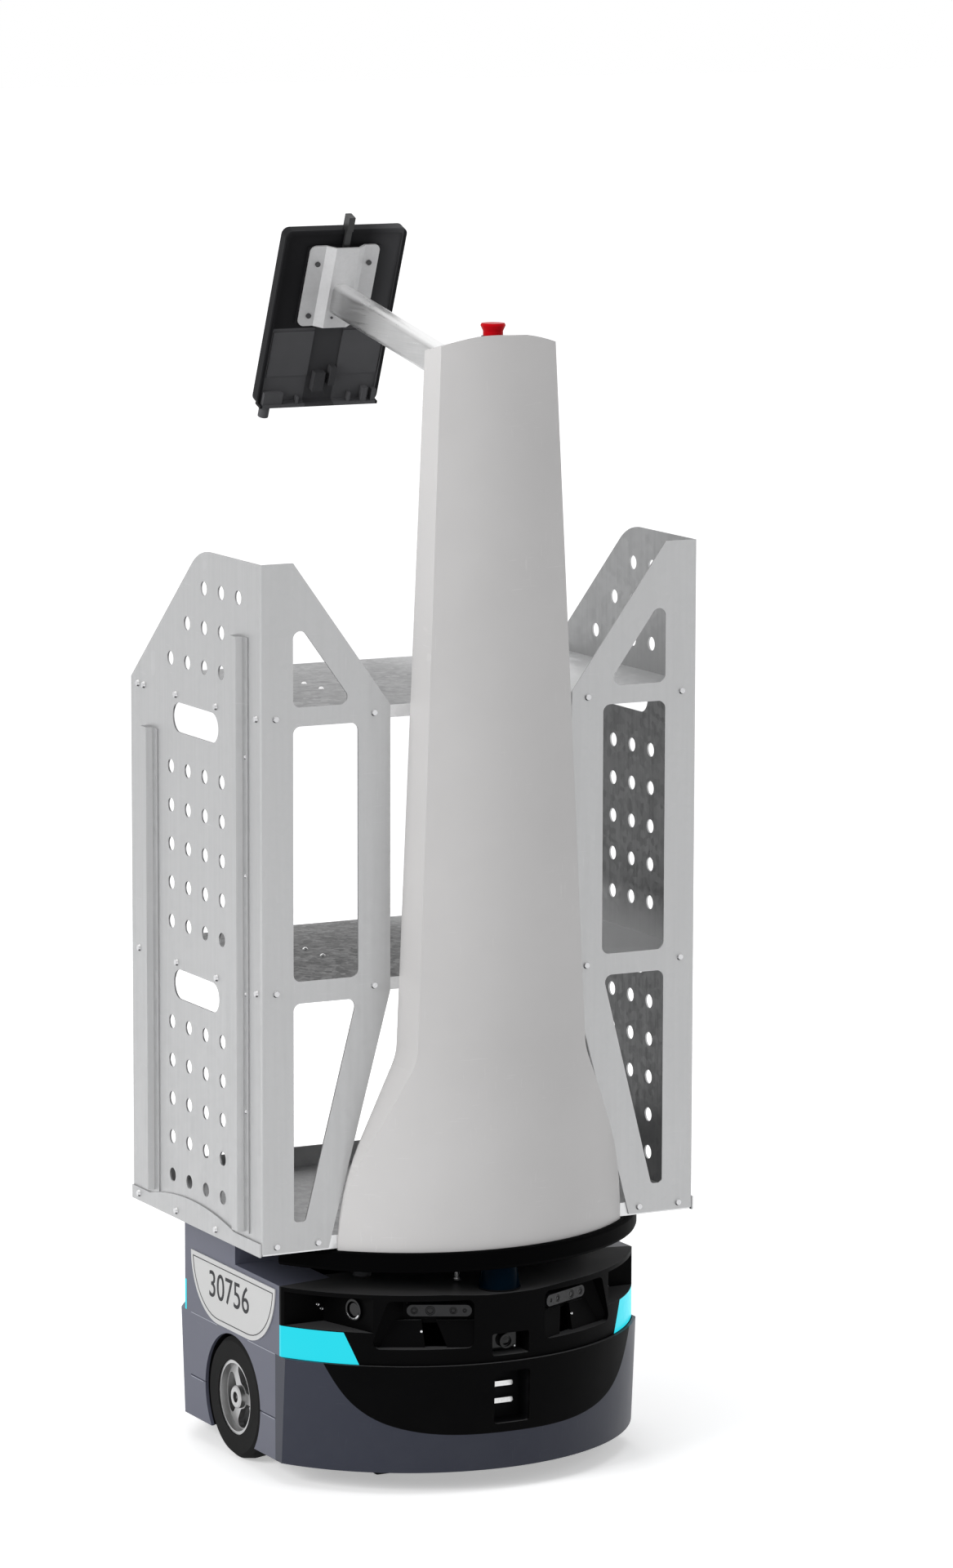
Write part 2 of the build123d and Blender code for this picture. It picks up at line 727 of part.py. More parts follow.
def battery_pack():
    w, d, h = BATTERY
    low = CHASSIS_Z0 + CHASSIS_T
    pack = box(-w / 2, w / 2, BATTERY_Y - d / 2, BATTERY_Y + d / 2, low, low + h)
    return fillet(pack.edges().filter_by(Axis.Z), 5)


def control_box():
    w, d, h = CONTROL
    low = CHASSIS_Z0 + CHASSIS_T
    case = box(-w / 2, w / 2, CONTROL_Y - d / 2, CONTROL_Y + d / 2, low, low + h)
    return fillet(case.edges().filter_by(Axis.Z), 3)


# Number plates
def number_plates():
    """Plates with a straight top and quarter-round ends, on the flat sides."""
    top = PLATE_TOP_Z
    low = PLATE_BOTTOM_Z
    round_r = top - low
    bulge = round_r * (1 - math.sqrt(0.5))
    rear_foot = PLATE_Y_REAR - round_r
    front_foot = PLATE_Y_FRONT + round_r
    outline = [
        Line((PLATE_Y_FRONT, top), (PLATE_Y_REAR, top)),
        ThreePointArc((PLATE_Y_REAR, top), (PLATE_Y_REAR - bulge, low + bulge), (rear_foot, low)),
        Line((rear_foot, low), (front_foot, low)),
        ThreePointArc((front_foot, low), (PLATE_Y_FRONT + bulge, low + bulge), (PLATE_Y_FRONT, top)),
    ]
    return both_sides(along_x(make_face(outline), FLAT_HALF, FLAT_HALF + PLATE_T))


# Drive wheels and gearmotors, right side
def wheel_mid_x():
    return FLAT_HALF - WHEEL_RECESS - TYRE_W / 2


def axle_frame():
    """Plane across the right wheel's middle, its normal along the axle."""
    return Plane(origin=(wheel_mid_x(), 0, WHEEL_R), x_dir=(0, 1, 0), z_dir=(1, 0, 0))


def spun(points):
    """Solid of revolution about the right wheel's axle from (radius, along) points."""
    solid = revolve(Plane.XZ * make_face(Polyline(*points, close=True)), Axis.Z)
    return axle_frame().location * solid


def spoke_web(rim_in):
    """Three spokes with wide rounded roots, as one flat web; one spoke points forward."""
    windows = Circle(rim_in) - Circle(HUB_R + 1)
    for i in range(SPOKE_COUNT):
        bar = Pos(rim_in / 2, 0) * Rectangle(rim_in + 10, SPOKE_W)
        windows = windows - Rot(0, 0, i * 360 / SPOKE_COUNT) * bar
    windows = fillet(windows.vertices(), SPOKE_ROOT_R)
    web = Circle(rim_in + 2) - windows
    return Rot(0, 0, 180) * extrude(web, SPOKE_T)


def drive_hub():
    """Spoked alloy rim with its boss and stub axle."""
    half = RIM_W / 2
    rim_in = RIM_R - RIM_BAND
    rim = spun([(rim_in + 3, -half), (RIM_R, -half), (RIM_R, half), (rim_in + 3, half), (rim_in, 0)])
    boss = spun([(0, -half), (HUB_R, -half), (HUB_R, half - 1.5), (HUB_R - 1.5, half), (0, half)])
    stub_low = -half - AXLE_REACH
    stub = spun([(0, stub_low), (AXLE_R, stub_low), (AXLE_R, 0), (0, 0)])
    web = Pos(0, 0, half - SPOKE_SUNK - SPOKE_T) * spoke_web(rim_in)
    floor = half - HUB_SOCKET_DEPTH
    socket = spun([(0, floor), (HUB_SOCKET_R, floor), (HUB_SOCKET_R, half), (0, half)])
    return rim + boss + stub + axle_frame().location * web - socket


def drive_tyre():
    half = TYRE_W / 2
    points = [(RIM_R, -half), (WHEEL_R - 7, -half), (WHEEL_R - 1.5, -half + 6), (WHEEL_R, 0)]
    points += [(WHEEL_R - 1.5, half - 6), (WHEEL_R - 7, half), (RIM_R, half)]
    return spun(points)


def gearmotor():
    """Gearbox and motor on one axis, hung from the chassis by a saddle."""
    face = wheel_inner_x() - MOTOR_GAP
    gear_in = face - GEARBOX_L
    gearbox = along_x(Pos(0, WHEEL_R) * Circle(GEARBOX_R), gear_in, face)
    motor = along_x(Pos(0, WHEEL_R) * Circle(MOTOR_R), gear_in - MOTOR_L, gear_in)
    w = MOTOR_SADDLE_W / 2
    saddle = box(gear_in + 6, face - 6, -w, w, WHEEL_R, CHASSIS_Z0)
    bore = along_x(Pos(0, WHEEL_R) * Circle(AXLE_R + RUN_FIT), face - AXLE_REACH - 2, face + 1)
    return gearbox + motor + saddle - bore


# Casters, one drawn with its swivel axis on Z
def caster_mount():
    plate_z = CHASSIS_Z0 - CASTER_PLATE_T
    plate = extrude(Pos(0, 0, plate_z) * RectangleRounded(CASTER_PLATE, CASTER_PLATE, 5), CASTER_PLATE_T)
    boss = Pos(0, 0, plate_z - CASTER_BOSS_H / 2) * Cylinder(CASTER_BOSS_R, CASTER_BOSS_H)
    bore_h = CASTER_BOSS_H - 1
    bore_z = plate_z - CASTER_BOSS_H + bore_h / 2
    return plate + boss - Pos(0, 0, bore_z) * Cylinder(KINGPIN_R + RUN_FIT, bore_h)


def caster_fork():
    """Pressed fork: neck and kingpin above, two legs down to the wheel's axle pin."""
    crown_z = 2 * CASTER_R + FORK_HEAD_GAP
    boss_z = CHASSIS_Z0 - CASTER_PLATE_T - CASTER_BOSS_H
    half = CASTER_W / 2 + FORK_GAP
    width = 2 * (half + FORK_T)
    crown = extrude(Pos(0, 0, crown_z) * RectangleRounded(width, width + 8, 4), FORK_CROWN_T)
    neck_h = boss_z - SWIVEL_GAP - crown_z
    neck = Pos(0, 0, crown_z + neck_h / 2) * Cylinder(FORK_NECK_R, neck_h)
    pin_h = boss_z + CASTER_BOSS_H - 3 - crown_z
    pin = Pos(0, 0, crown_z + pin_h / 2) * Cylinder(KINGPIN_R, pin_h)
    reach = width / 2 + 2
    leg_face = make_face(
        Polyline(
            (-reach, crown_z + FORK_CROWN_T),
            (reach, crown_z + FORK_CROWN_T),
            (CASTER_TRAIL + 8, CASTER_R - 4),
            (CASTER_TRAIL, CASTER_R - 9),
            (CASTER_TRAIL - 8, CASTER_R - 4),
            close=True,
        )
    )
    leg = along_x(leg_face, half, half + FORK_T)
    axle = along_x(Pos(CASTER_TRAIL, CASTER_R) * Circle(CASTER_AXLE_R), -half - 1, half + 1)
    fork = crown + neck + pin + axle
    for part in both_sides(leg):
        fork = fork + part
    return fork


def caster_wheel():
    half = CASTER_W / 2
    bore = CASTER_AXLE_R + RUN_FIT
    shoulder = CASTER_R - 4
    points = [
        (bore, -half),
        (shoulder, -half),
        (CASTER_R, -half + 4),
        (CASTER_R, half - 4),
        (shoulder, half),
        (bore, half),
    ]
    wheel = revolve(Plane.XZ * make_face(Polyline(*points, close=True)), Axis.Z)
    axle = Plane(origin=(0, CASTER_TRAIL, CASTER_R), x_dir=(0, 1, 0), z_dir=(1, 0, 0))
    return axle.location * wheel


# Column shell
def column_outline(inset):
    """Front view of the column: foot, flare, waist, straight taper and crowned top."""
    top = COL_TOP_Z + COL_CROWN + 20
    over = COL_TOP_HALF - (top - COL_TOP_Z) * (COL_KNEE_HALF - COL_TOP_HALF) / (COL_TOP_Z - COL_KNEE_Z)
    foot = [(COL_FOOT_HALF, RING_TOP_Z), (COL_FOOT_HALF, COL_SHOULDER_Z)]
    right = foot + [(COL_KNEE_HALF, COL_KNEE_Z), (over, top)]
    radius = [COL_FLARE_R * 0.98, COL_KNEE_R]
    curve = FilletPolyline(*right, radius=radius)
    mirror_curve = mirror(curve, Plane.YZ)
    edges = curve.edges() + mirror_curve.edges()
    edges = edges + [Line((over, top), (-over, top))]
    edges = edges + [Line((-COL_FOOT_HALF, RING_TOP_Z), (COL_FOOT_HALF, RING_TOP_Z))]
    face = make_face(edges)
    if inset > 0:
        face = offset(face, -inset, kind=Kind.INTERSECTION)
    return face


def column_form(inset):
    """The column's outside, or its hollow when an inset is given."""
    drop = inset + 1 if inset > 0 else 0
    body = along_y(column_outline(inset), -BIG, COL_BACK_Y)
    if drop:
        half = COL_FOOT_HALF - inset
        foot = box(-half, half, -BIG, COL_BACK_Y, RING_TOP_Z - 1, RING_TOP_Z + drop + 1)
        body = body + foot
    low = RING_TOP_Z - drop
    turned_front = turned(
        [
            (0, low),
            (COL_R - inset, low),
            (COL_R - inset, COL_WAIST_Z),
            (COL_TOP_R - inset, COL_TOP_Z + COL_CROWN),
            (0, COL_TOP_Z + COL_CROWN),
        ]
    )
    slope = math.radians(COL_TOP_SLOPE)
    fall = math.tan(slope) * 41
    side_z = COL_TOP_Z - fall - inset
    wide = COL_FOOT_HALF + 10
    arc = ThreePointArc((-COL_TOP_HALF, side_z), (0, side_z + COL_CROWN), (COL_TOP_HALF, side_z))
    left = [(-COL_TOP_HALF, side_z), (-wide, side_z - 12), (-wide, 0)]
    right = [(wide, 0), (wide, side_z - 12), (COL_TOP_HALF, side_z)]
    cap_face = make_face([arc, Polyline(*left, *right)])
    cap_plane = Plane(origin=(0, COL_BACK_Y, 0), x_dir=(1, 0, 0), z_dir=(0, -1, 0))
    cap = extrude(cap_plane * cap_face, 120, dir=(0, -math.cos(slope), math.sin(slope)))
    return body & turned_front & cap


def column_front_cover(outer, hollow, stop_hole):
    return outer - hollow - stop_hole


def column_back_cover(hollow, arm):
    slab = box(-BIG, BIG, COL_BACK_Y - BACK_COVER_T, COL_BACK_Y, RING_TOP_Z, BIG)
    deck_clear = box(-BIG, BIG, -BIG, BIG, 0, RING_TOP_Z + DECK_T)
    return (hollow & slab) - deck_clear - arm


def column_spine(arm):
    """Steel box post from the deck up to the arm's root."""
    y1 = COL_BACK_Y - BACK_COVER_T
    low = DECK_Z0 + DECK_T
    half = SPINE_W / 2
    tube = box(-half, half, y1 - SPINE_D, y1, low, SPINE_TOP_Z)
    w = SPINE_WALL
    bore = box(-half + w, half - w, y1 - SPINE_D + w, y1 - w, low - 1, SPINE_TOP_Z + 1)
    return tube - bore - arm


# Stop button
def stop_seat_z():
    """Height of the column's top at the button."""
    return COL_TOP_Z + COL_CROWN - math.tan(math.radians(COL_TOP_SLOPE)) * (41 - (COL_BACK_Y - STOP_Y))


def stop_hole():
    return Pos(0, STOP_Y, stop_seat_z()) * Cylinder(STOP_BASE_R, 24)


def head_z():
    """Low and high ends of the button's head at rest."""
    low = stop_seat_z() + STOP_RIM + STOP_HEAD_GAP
    return low, low + STOP_HEAD_H


def estop_collar():
    """Fixed cup and switch block, through the column's top."""
    seat = stop_seat_z()
    head_low, head_high = head_z()
    rim = seat + STOP_RIM
    floor = head_low - STOP_TRAVEL - STOP_HEAD_GAP
    low = seat - STOP_SWITCH_H
    cup = turned([(0, floor - 6), (STOP_BASE_R, floor - 6), (STOP_BASE_R, rim), (0, rim)])
    inside = turned([(0, floor), (STOP_BASE_R - 1.6, floor), (STOP_BASE_R - 1.6, rim), (0, rim)])
    nose_top = head_high - STOP_HEAD_WALL - STOP_TRAVEL - 2
    nose = turned([(0, floor), (STOP_COLLAR_R, floor), (STOP_COLLAR_R, nose_top), (0, nose_top)])
    block = box(-STOP_COLLAR_R, STOP_COLLAR_R, -STOP_COLLAR_R, STOP_COLLAR_R, low, floor - 5)
    bore_r = STOP_STEM_R + RUN_FIT
    bore = turned([(0, low + 4), (bore_r, low + 4), (bore_r, seat + 90), (0, seat + 90)])
    return Pos(0, STOP_Y, 0) * (cup - inside + nose + block - bore)


def estop_stem():
    """Plunger rod that the head turns on; it stops short of the block's floor."""
    low = stop_seat_z() - STOP_SWITCH_H + 4 + STOP_TRAVEL + 1
    top = head_z()[1] - STOP_HEAD_WALL
    return Pos(0, STOP_Y, (low + top) / 2) * Cylinder(STOP_STEM_R, top - low)


def estop_head():
    """Mushroom head: wider at the top, hollow over the collar's nose."""
    z0, z1 = head_z()
    wall_z = z1 - STOP_HEAD_WALL
    bore = STOP_STEM_R + RUN_FIT
    wide = STOP_COLLAR_R + 0.6
    skirt = [(0, z0), (STOP_SKIRT_R, z0), (STOP_SKIRT_R, z0 + STOP_SKIRT_H)]
    crown = [(STOP_HEAD_R, z1 - 2.5), (STOP_HEAD_R - 1.2, z1), (0, z1)]
    head = turned(skirt + crown)
    hollow = turned([(0, z0), (wide, z0), (wide, wall_z - 1.5), (0, wall_z - 1.5)])
    socket = turned([(0, z0), (bore, z0), (bore, wall_z), (0, wall_z)])
    return Pos(0, STOP_Y, 0) * (head - hollow - socket)


# Arm and tablet
def tablet_plane():
    """Back face of the tablet holder: local x is +X, local y runs up it, local z out of its back."""
    t = math.radians(TAB_TILT)
    return Plane(origin=(0, TAB_Y, TAB_Z), x_dir=(1, 0, 0), z_dir=(0, -math.cos(t), -math.sin(t)))


def on_tablet(shape):
    return tablet_plane().location * shape


def tablet_box(u0, u1, v0, v1, w0, w1):
    return on_tablet(box(u0, u1, v0, v1, w0, w1))


def arm_solid(grow=0.0):
    """Flat oval tube envelope from the spine to the bracket."""
    a = math.radians(ARM_SLOPE)
    root_z = ARM_AT_Z + (ARM_ROOT_Y - ARM_AT_Y) * math.tan(a)
    plane = Plane(origin=(0, ARM_ROOT_Y, root_z), x_dir=(1, 0, 0), z_dir=(0, math.cos(a), math.sin(a)))
    face = RectangleRounded(ARM_W + 2 * grow, ARM_H + 2 * grow, ARM_EDGE_R + grow)
    return extrude(plane * face, ARM_AT_Y - ARM_ROOT_Y + 60)


def display_arm():
    beyond = tablet_box(-BIG, BIG, -BIG, BIG, -BIG, HAT_RISE + HAT_T)
    return arm_solid() - arm_solid(-ARM_WALL) - beyond


def tablet_bracket():
    """Hat-section plate with rounded corners, screwed to the holder's back."""
    top = HAT_RISE + HAT_T
    right = [
        (HAT_W / 2, 0),
        (HAT_W / 2, HAT_T),
        (HAT_FOOT_HALF, HAT_T),
        (HAT_TOP_HALF, top),
    ]
    under = [(HAT_TOP_HALF - 1, HAT_RISE), (HAT_FOOT_HALF - 1, 0)]
    points = right + [(-x, z) for x, z in reversed(right)] + [(-x, z) for x, z in reversed(under)] + under
    face = make_face(Polyline(*points, close=True))
    local = Plane(origin=(0, HAT_V + HAT_H / 2, 0), x_dir=(1, 0, 0), z_dir=(0, -1, 0))
    hat = extrude(local * face, HAT_H)
    outline = extrude(Pos(0, HAT_V, -1) * RectangleRounded(HAT_W, HAT_H, HAT_CORNER), top + 2)
    return on_tablet(hat & outline)


def bracket_screws():
    screws = []
    for x in (-HAT_SCREW_X, HAT_SCREW_X):
        for v in (HAT_SCREW_LOW, HAT_SCREW_HIGH):
            screws.append(on_tablet(Pos(x, v, HAT_T + SCREW_H / 2) * Cylinder(SCREW_R, SCREW_H)))
    for x in (-6.3, 6.3):
        screws.append(on_tablet(Pos(x, HAT_SCREW_LOW, HAT_T + HAT_RISE + 0.6) * Cylinder(1.6, 1.2)))
    return screws


def tablet_holder():
    """Moulded holder: screen-side well, shallow back, raised pads, ledge, clips and stud."""
    body = extrude(Pos(0, 0, -TAB_T) * RectangleRounded(TAB_W, TAB_H, TAB_CORNER), TAB_T)
    body = chamfer(body.edges().group_by(Axis.Z)[-1], 1.2)
    well_w = TAB_W - 2 * TAB_LIP
    well_h = TAB_H - 2 * TAB_LIP
    floor = -TAB_BACK_RECESS - TAB_BACK_WALL
    body = body - extrude(Pos(0, 0, -TAB_T - 1) * RectangleRounded(well_w, well_h, 5), TAB_T + 1 + floor)
    back = extrude(Pos(0, 0, -TAB_BACK_RECESS) * RectangleRounded(well_w - 3, well_h - 3, 5), 10)
    body = body - back
    recess = -TAB_BACK_RECESS
    body = body + box(-HAT_W / 2 - 2, HAT_W / 2 + 2, HAT_V - HAT_H / 2 + 2, HAT_V + HAT_H / 2 - 2, recess, 0)
    for x0, x1 in ((-PAD_OUTER, -PAD_INNER), (PAD_INNER, PAD_OUTER)):
        body = body + box(x0, x1, PAD_Z0, PAD_Z1, recess, recess + PAD_T)
    low = -TAB_H / 2
    body = body + box(-TAB_W / 2 + 2, TAB_W / 2 - 2, low, low + LEDGE_T, -TAB_T / 2, LEDGE_D)
    clips = [
        (-74, -49, -112, -97, 5),
        (-30, -27.5, -113, -103, 5),
        (38.5, 41, -113, -100, 5),
        (56, 62.5, -113, -94, 6),
        (69, 75, -113, -97, 5),
        (-12, 2, -96, -71, 6),
        (8, 15.5, -88, -64, 7),
    ]
    for x0, x1, v0, v1, w1 in clips:
        body = body + box(x0, x1, v0, v1, recess, w1)
    stud = Pos(STUD_X, low - STUD_L / 2 + 2, -1) * Rot(90, 0, 0) * Cylinder(STUD_R, STUD_L + 4)
    return on_tablet(body + stud)


def tablet_body():
    floor = -TAB_BACK_RECESS - TAB_BACK_WALL
    w = TAB_W - 2 * TAB_LIP - 2 * TAB_FIT
    h = TAB_H - 2 * TAB_LIP - 2 * TAB_FIT
    face = RectangleRounded(w, h, 5 - TAB_FIT)
    depth = TAB_T + floor - GLASS_T
    return on_tablet(extrude(Pos(0, 0, floor - depth) * face, depth))


def tablet_glass():
    w = TAB_W - 2 * TAB_LIP - 2 * TAB_FIT - 1
    h = TAB_H - 2 * TAB_LIP - 2 * TAB_FIT - 1
    return on_tablet(extrude(Pos(0, 0, -TAB_T) * RectangleRounded(w, h, 4), GLASS_T))


def latch_strip():
    """Spring latch that runs under the hat bracket and hooks over the holder's top edge."""
    strip = box(-LATCH_W / 2, LATCH_W / 2, LATCH_V0, LATCH_V1, RUN_FIT, LATCH_T)
    hook = box(-LATCH_W / 2, LATCH_W / 2, TAB_H / 2, LATCH_V1, -7, LATCH_T + 2.4)
    return on_tablet(strip + hook)


# Rack
def frame_window(points):
    """A front-frame window with rounded corners, from (x, z, radius) points."""
    face = make_face(Polyline(*[(x, z) for x, z, _ in points], close=True))
    for x, z, radius in points:
        corner = face.vertices().sort_by_distance((x, z, 0))[0]
        face = fillet(corner, radius)
    return along_y(face, RACK_FRONT_Y - 5, RACK_FRONT_Y + 20)


def rack_side():
    """Right rack side: perforated side panel and windowed front frame bent from one sheet."""
    side_points = [
        (RACK_FRONT_Y, RACK_Z0),
        (RACK_REAR_Y, RACK_Z0),
        (RACK_REAR_Y, SIDE_SLOPE_Z),
        (SIDE_CREST_Y, RACK_TOP_Z),
        (RACK_FRONT_Y, RACK_TOP_Z),
    ]
    side_face = make_face(Polyline(*side_points, close=True))
    crest = side_face.vertices().sort_by_distance((SIDE_CREST_Y, RACK_TOP_Z, 0))[0]
    side_face = fillet(crest, SIDE_CREST_R)
    for y, z in hole_places():
        side_face = side_face - Pos(y, z) * Circle(HOLE_R)
    for shelf, drop in zip(SHELF_Z, HANDLE_DROP):
        side_face = side_face - Pos(HANDLE_Y, shelf - drop) * SlotOverall(HANDLE_L, HANDLE_H)
    side = along_x(side_face, RACK_HALF - SHEET, RACK_HALF)

    frame_points = [
        (RACK_HALF, RACK_Z0),
        (RACK_HALF, RACK_TOP_Z),
        (FRAME_TOP_X, RACK_TOP_Z),
        (FRAME_IN_X, FRAME_IN_TOP_Z),
        (FRAME_IN_X, FRAME_IN_LOW_Z),
        (FRAME_FOOT_X, RACK_Z0),
    ]
    frame = along_y(make_face(Polyline(*frame_points, close=True)), RACK_FRONT_Y, RACK_FRONT_Y + SHEET)
    r = WINDOW_R
    under_shelves = [shelf - drop for shelf, drop in zip(SHELF_Z, WINDOW_UNDER_SHELF)]
    tops = (RACK_TOP_Z - WINDOW_TOP_DROP, *under_shelves)
    lows = (SHELF_Z[0] + WINDOW_OVER_SHELF, SHELF_Z[1] + WINDOW_OVER_SHELF, TRAY_Z + WINDOW_OVER_TRAY)
    tip = WINDOW_TIP_X
    windows = [
        [(WINDOW_X, tops[0], r), (WINDOW_X, lows[0], r), (WINDOW_IN_X + 4.8, lows[0], r)],
        [
            (WINDOW_X, tops[1], r),
            (WINDOW_X, lows[1], r),
            (WINDOW_IN_X, lows[1], r),
            (WINDOW_IN_X, tops[1], r),
        ],
        [
            (WINDOW_X, tops[2], r),
            (WINDOW_X, lows[2], WINDOW_TIP_R),
            (tip, lows[2], WINDOW_TIP_R),
            (WINDOW_IN_X + 1.8, tops[2], r),
        ],
    ]
    sheet = side + frame
    corner = sheet.edges().filter_by(Axis.Z).sort_by_distance((RACK_HALF, RACK_FRONT_Y, RACK_TOP_Z / 2))[0]
    sheet = fillet(corner, FRAME_BEND_R)
    for points in windows:
        sheet = sheet - frame_window(points)
    return sheet


def hole_places():
    """Centres of the round holes, in rows kept clear of the handle slots."""
    places = []
    for base, rows in ((HOLE_LOW_Z, 5), (HOLE_MID_Z, 5)):
        for row in range(rows):
            for col in range(4):
                places.append((HOLE_Y0 - col * HOLE_PITCH_Y, base + row * HOLE_PITCH_Z))
    for row, cols in ((0, range(0, 4)), (1, range(1, 4)), (2, range(2, 5))):
        for col in cols:
            places.append((HOLE_Y0 - col * HOLE_PITCH_Y, HOLE_HIGH_Z + row * HOLE_PITCH_Z))
    return places


def rail(y_rear, z_range):
    """A folded stiffener: ramped box at the rear and a thin riveted flange in front."""
    low, high = z_range
    x = RACK_HALF
    points = [
        (x, y_rear),
        (x + RAIL_PROUD, y_rear - RAIL_RAMP),
        (x + RAIL_PROUD, y_rear - RAIL_BOX + 2),
        (x + RAIL_FLANGE_T, y_rear - RAIL_BOX),
        (x + RAIL_FLANGE_T, y_rear - RAIL_BOX - RAIL_FLANGE),
        (x, y_rear - RAIL_BOX - RAIL_FLANGE),
    ]
    return extrude(Pos(0, 0, low) * make_face(Polyline(*points, close=True)), high - low)


def rack_rails():
    rails = []
    for y_rear, z_range in ((FRONT_RAIL_Y, FRONT_RAIL_Z), (REAR_RAIL_Y, REAR_RAIL_Z)):
        rails += both_sides(rail(y_rear, z_range))
    return rails


def kick_strips():
    """Arched trim plates along the foot of each side panel."""
    front = RACK_FRONT_Y + 1
    half = KICK_ARCH_HALF
    shoulder = KICK_SHOULDER_Z
    rear = [(RACK_REAR_Y, shoulder), (RACK_REAR_Y, KICK_Z0)]
    outline = Polyline(*rear, (front, KICK_Z0), (front, shoulder), (-half, shoulder))
    arch = ThreePointArc((-half, shoulder), (0, KICK_CREST_Z), (half, shoulder))
    close = Line((half, shoulder), (RACK_REAR_Y, shoulder))
    face = make_face([outline, arch, close])
    return both_sides(along_x(face, RACK_HALF, RACK_HALF + KICK_T))


def folded_shelf(top, lip):
    """Sheet shelf with all four edges folded down."""
    x = RACK_HALF - SHEET
    y0 = RACK_FRONT_Y + SHEET
    y1 = RACK_REAR_Y - SHELF_REAR_GAP
    solid = box(-x, x, y0, y1, top - lip, top)
    hollow = box(-x + SHEET, x - SHEET, y0 + SHEET, y1 - SHEET, top - lip - 1, top - SHEET)
    return solid - hollow


def base_tray():
    """Bottom shelf: folded down to the deck, with a low wall standing at the rear."""
    deck_top = DECK_Z0 + DECK_T
    tray = folded_shelf(TRAY_Z, TRAY_Z - deck_top)
    x = RACK_HALF - SHEET
    y1 = RACK_REAR_Y - SHELF_REAR_GAP
    return tray + box(-x, x, y1 - SHEET, y1, TRAY_Z - SHEET, TRAY_Z + TRAY_UPSTAND)


def bolt(place, axis_plane):
    """A round-headed bolt: its head standing on the sheet."""
    head = Cone(BOLT_R, BOLT_TOP_R, BOLT_H, align=(Align.CENTER, Align.CENTER, Align.MIN))
    return Pos(*place) * (axis_plane.location * head)


def rack_bolts():
    """Bolt heads on the front frames and the side panels, both sides."""
    front = Plane(origin=(0, 0, 0), x_dir=(1, 0, 0), z_dir=(0, -1, 0))
    side = Plane(origin=(0, 0, 0), x_dir=(0, 1, 0), z_dir=(1, 0, 0))
    bolts = []
    for shelf in SHELF_Z:
        z = shelf - SHELF_LIP / 2
        for x in (RACK_HALF - BOLT_OUTER_INSET, FRAME_IN_X + BOLT_INNER_INSET):
            bolts += both_sides(bolt((x, RACK_FRONT_Y, z), front))
        for step in BOLT_FROM_REAR:
            bolts += both_sides(bolt((RACK_HALF, RACK_REAR_Y - step, z), side))
    for x in (RACK_HALF - BOLT_OUTER_INSET, FRAME_FOOT_X + BOLT_FOOT_INSET):
        bolts += both_sides(bolt((x, RACK_FRONT_Y, FOOT_BOLT_Z), front))
    for step in FOOT_BOLT_FROM_REAR:
        place = (RACK_HALF + KICK_T, RACK_REAR_Y - step, FOOT_BOLT_Z - FOOT_BOLT_DROP)
        bolts += both_sides(bolt(place, side))
    return bolts


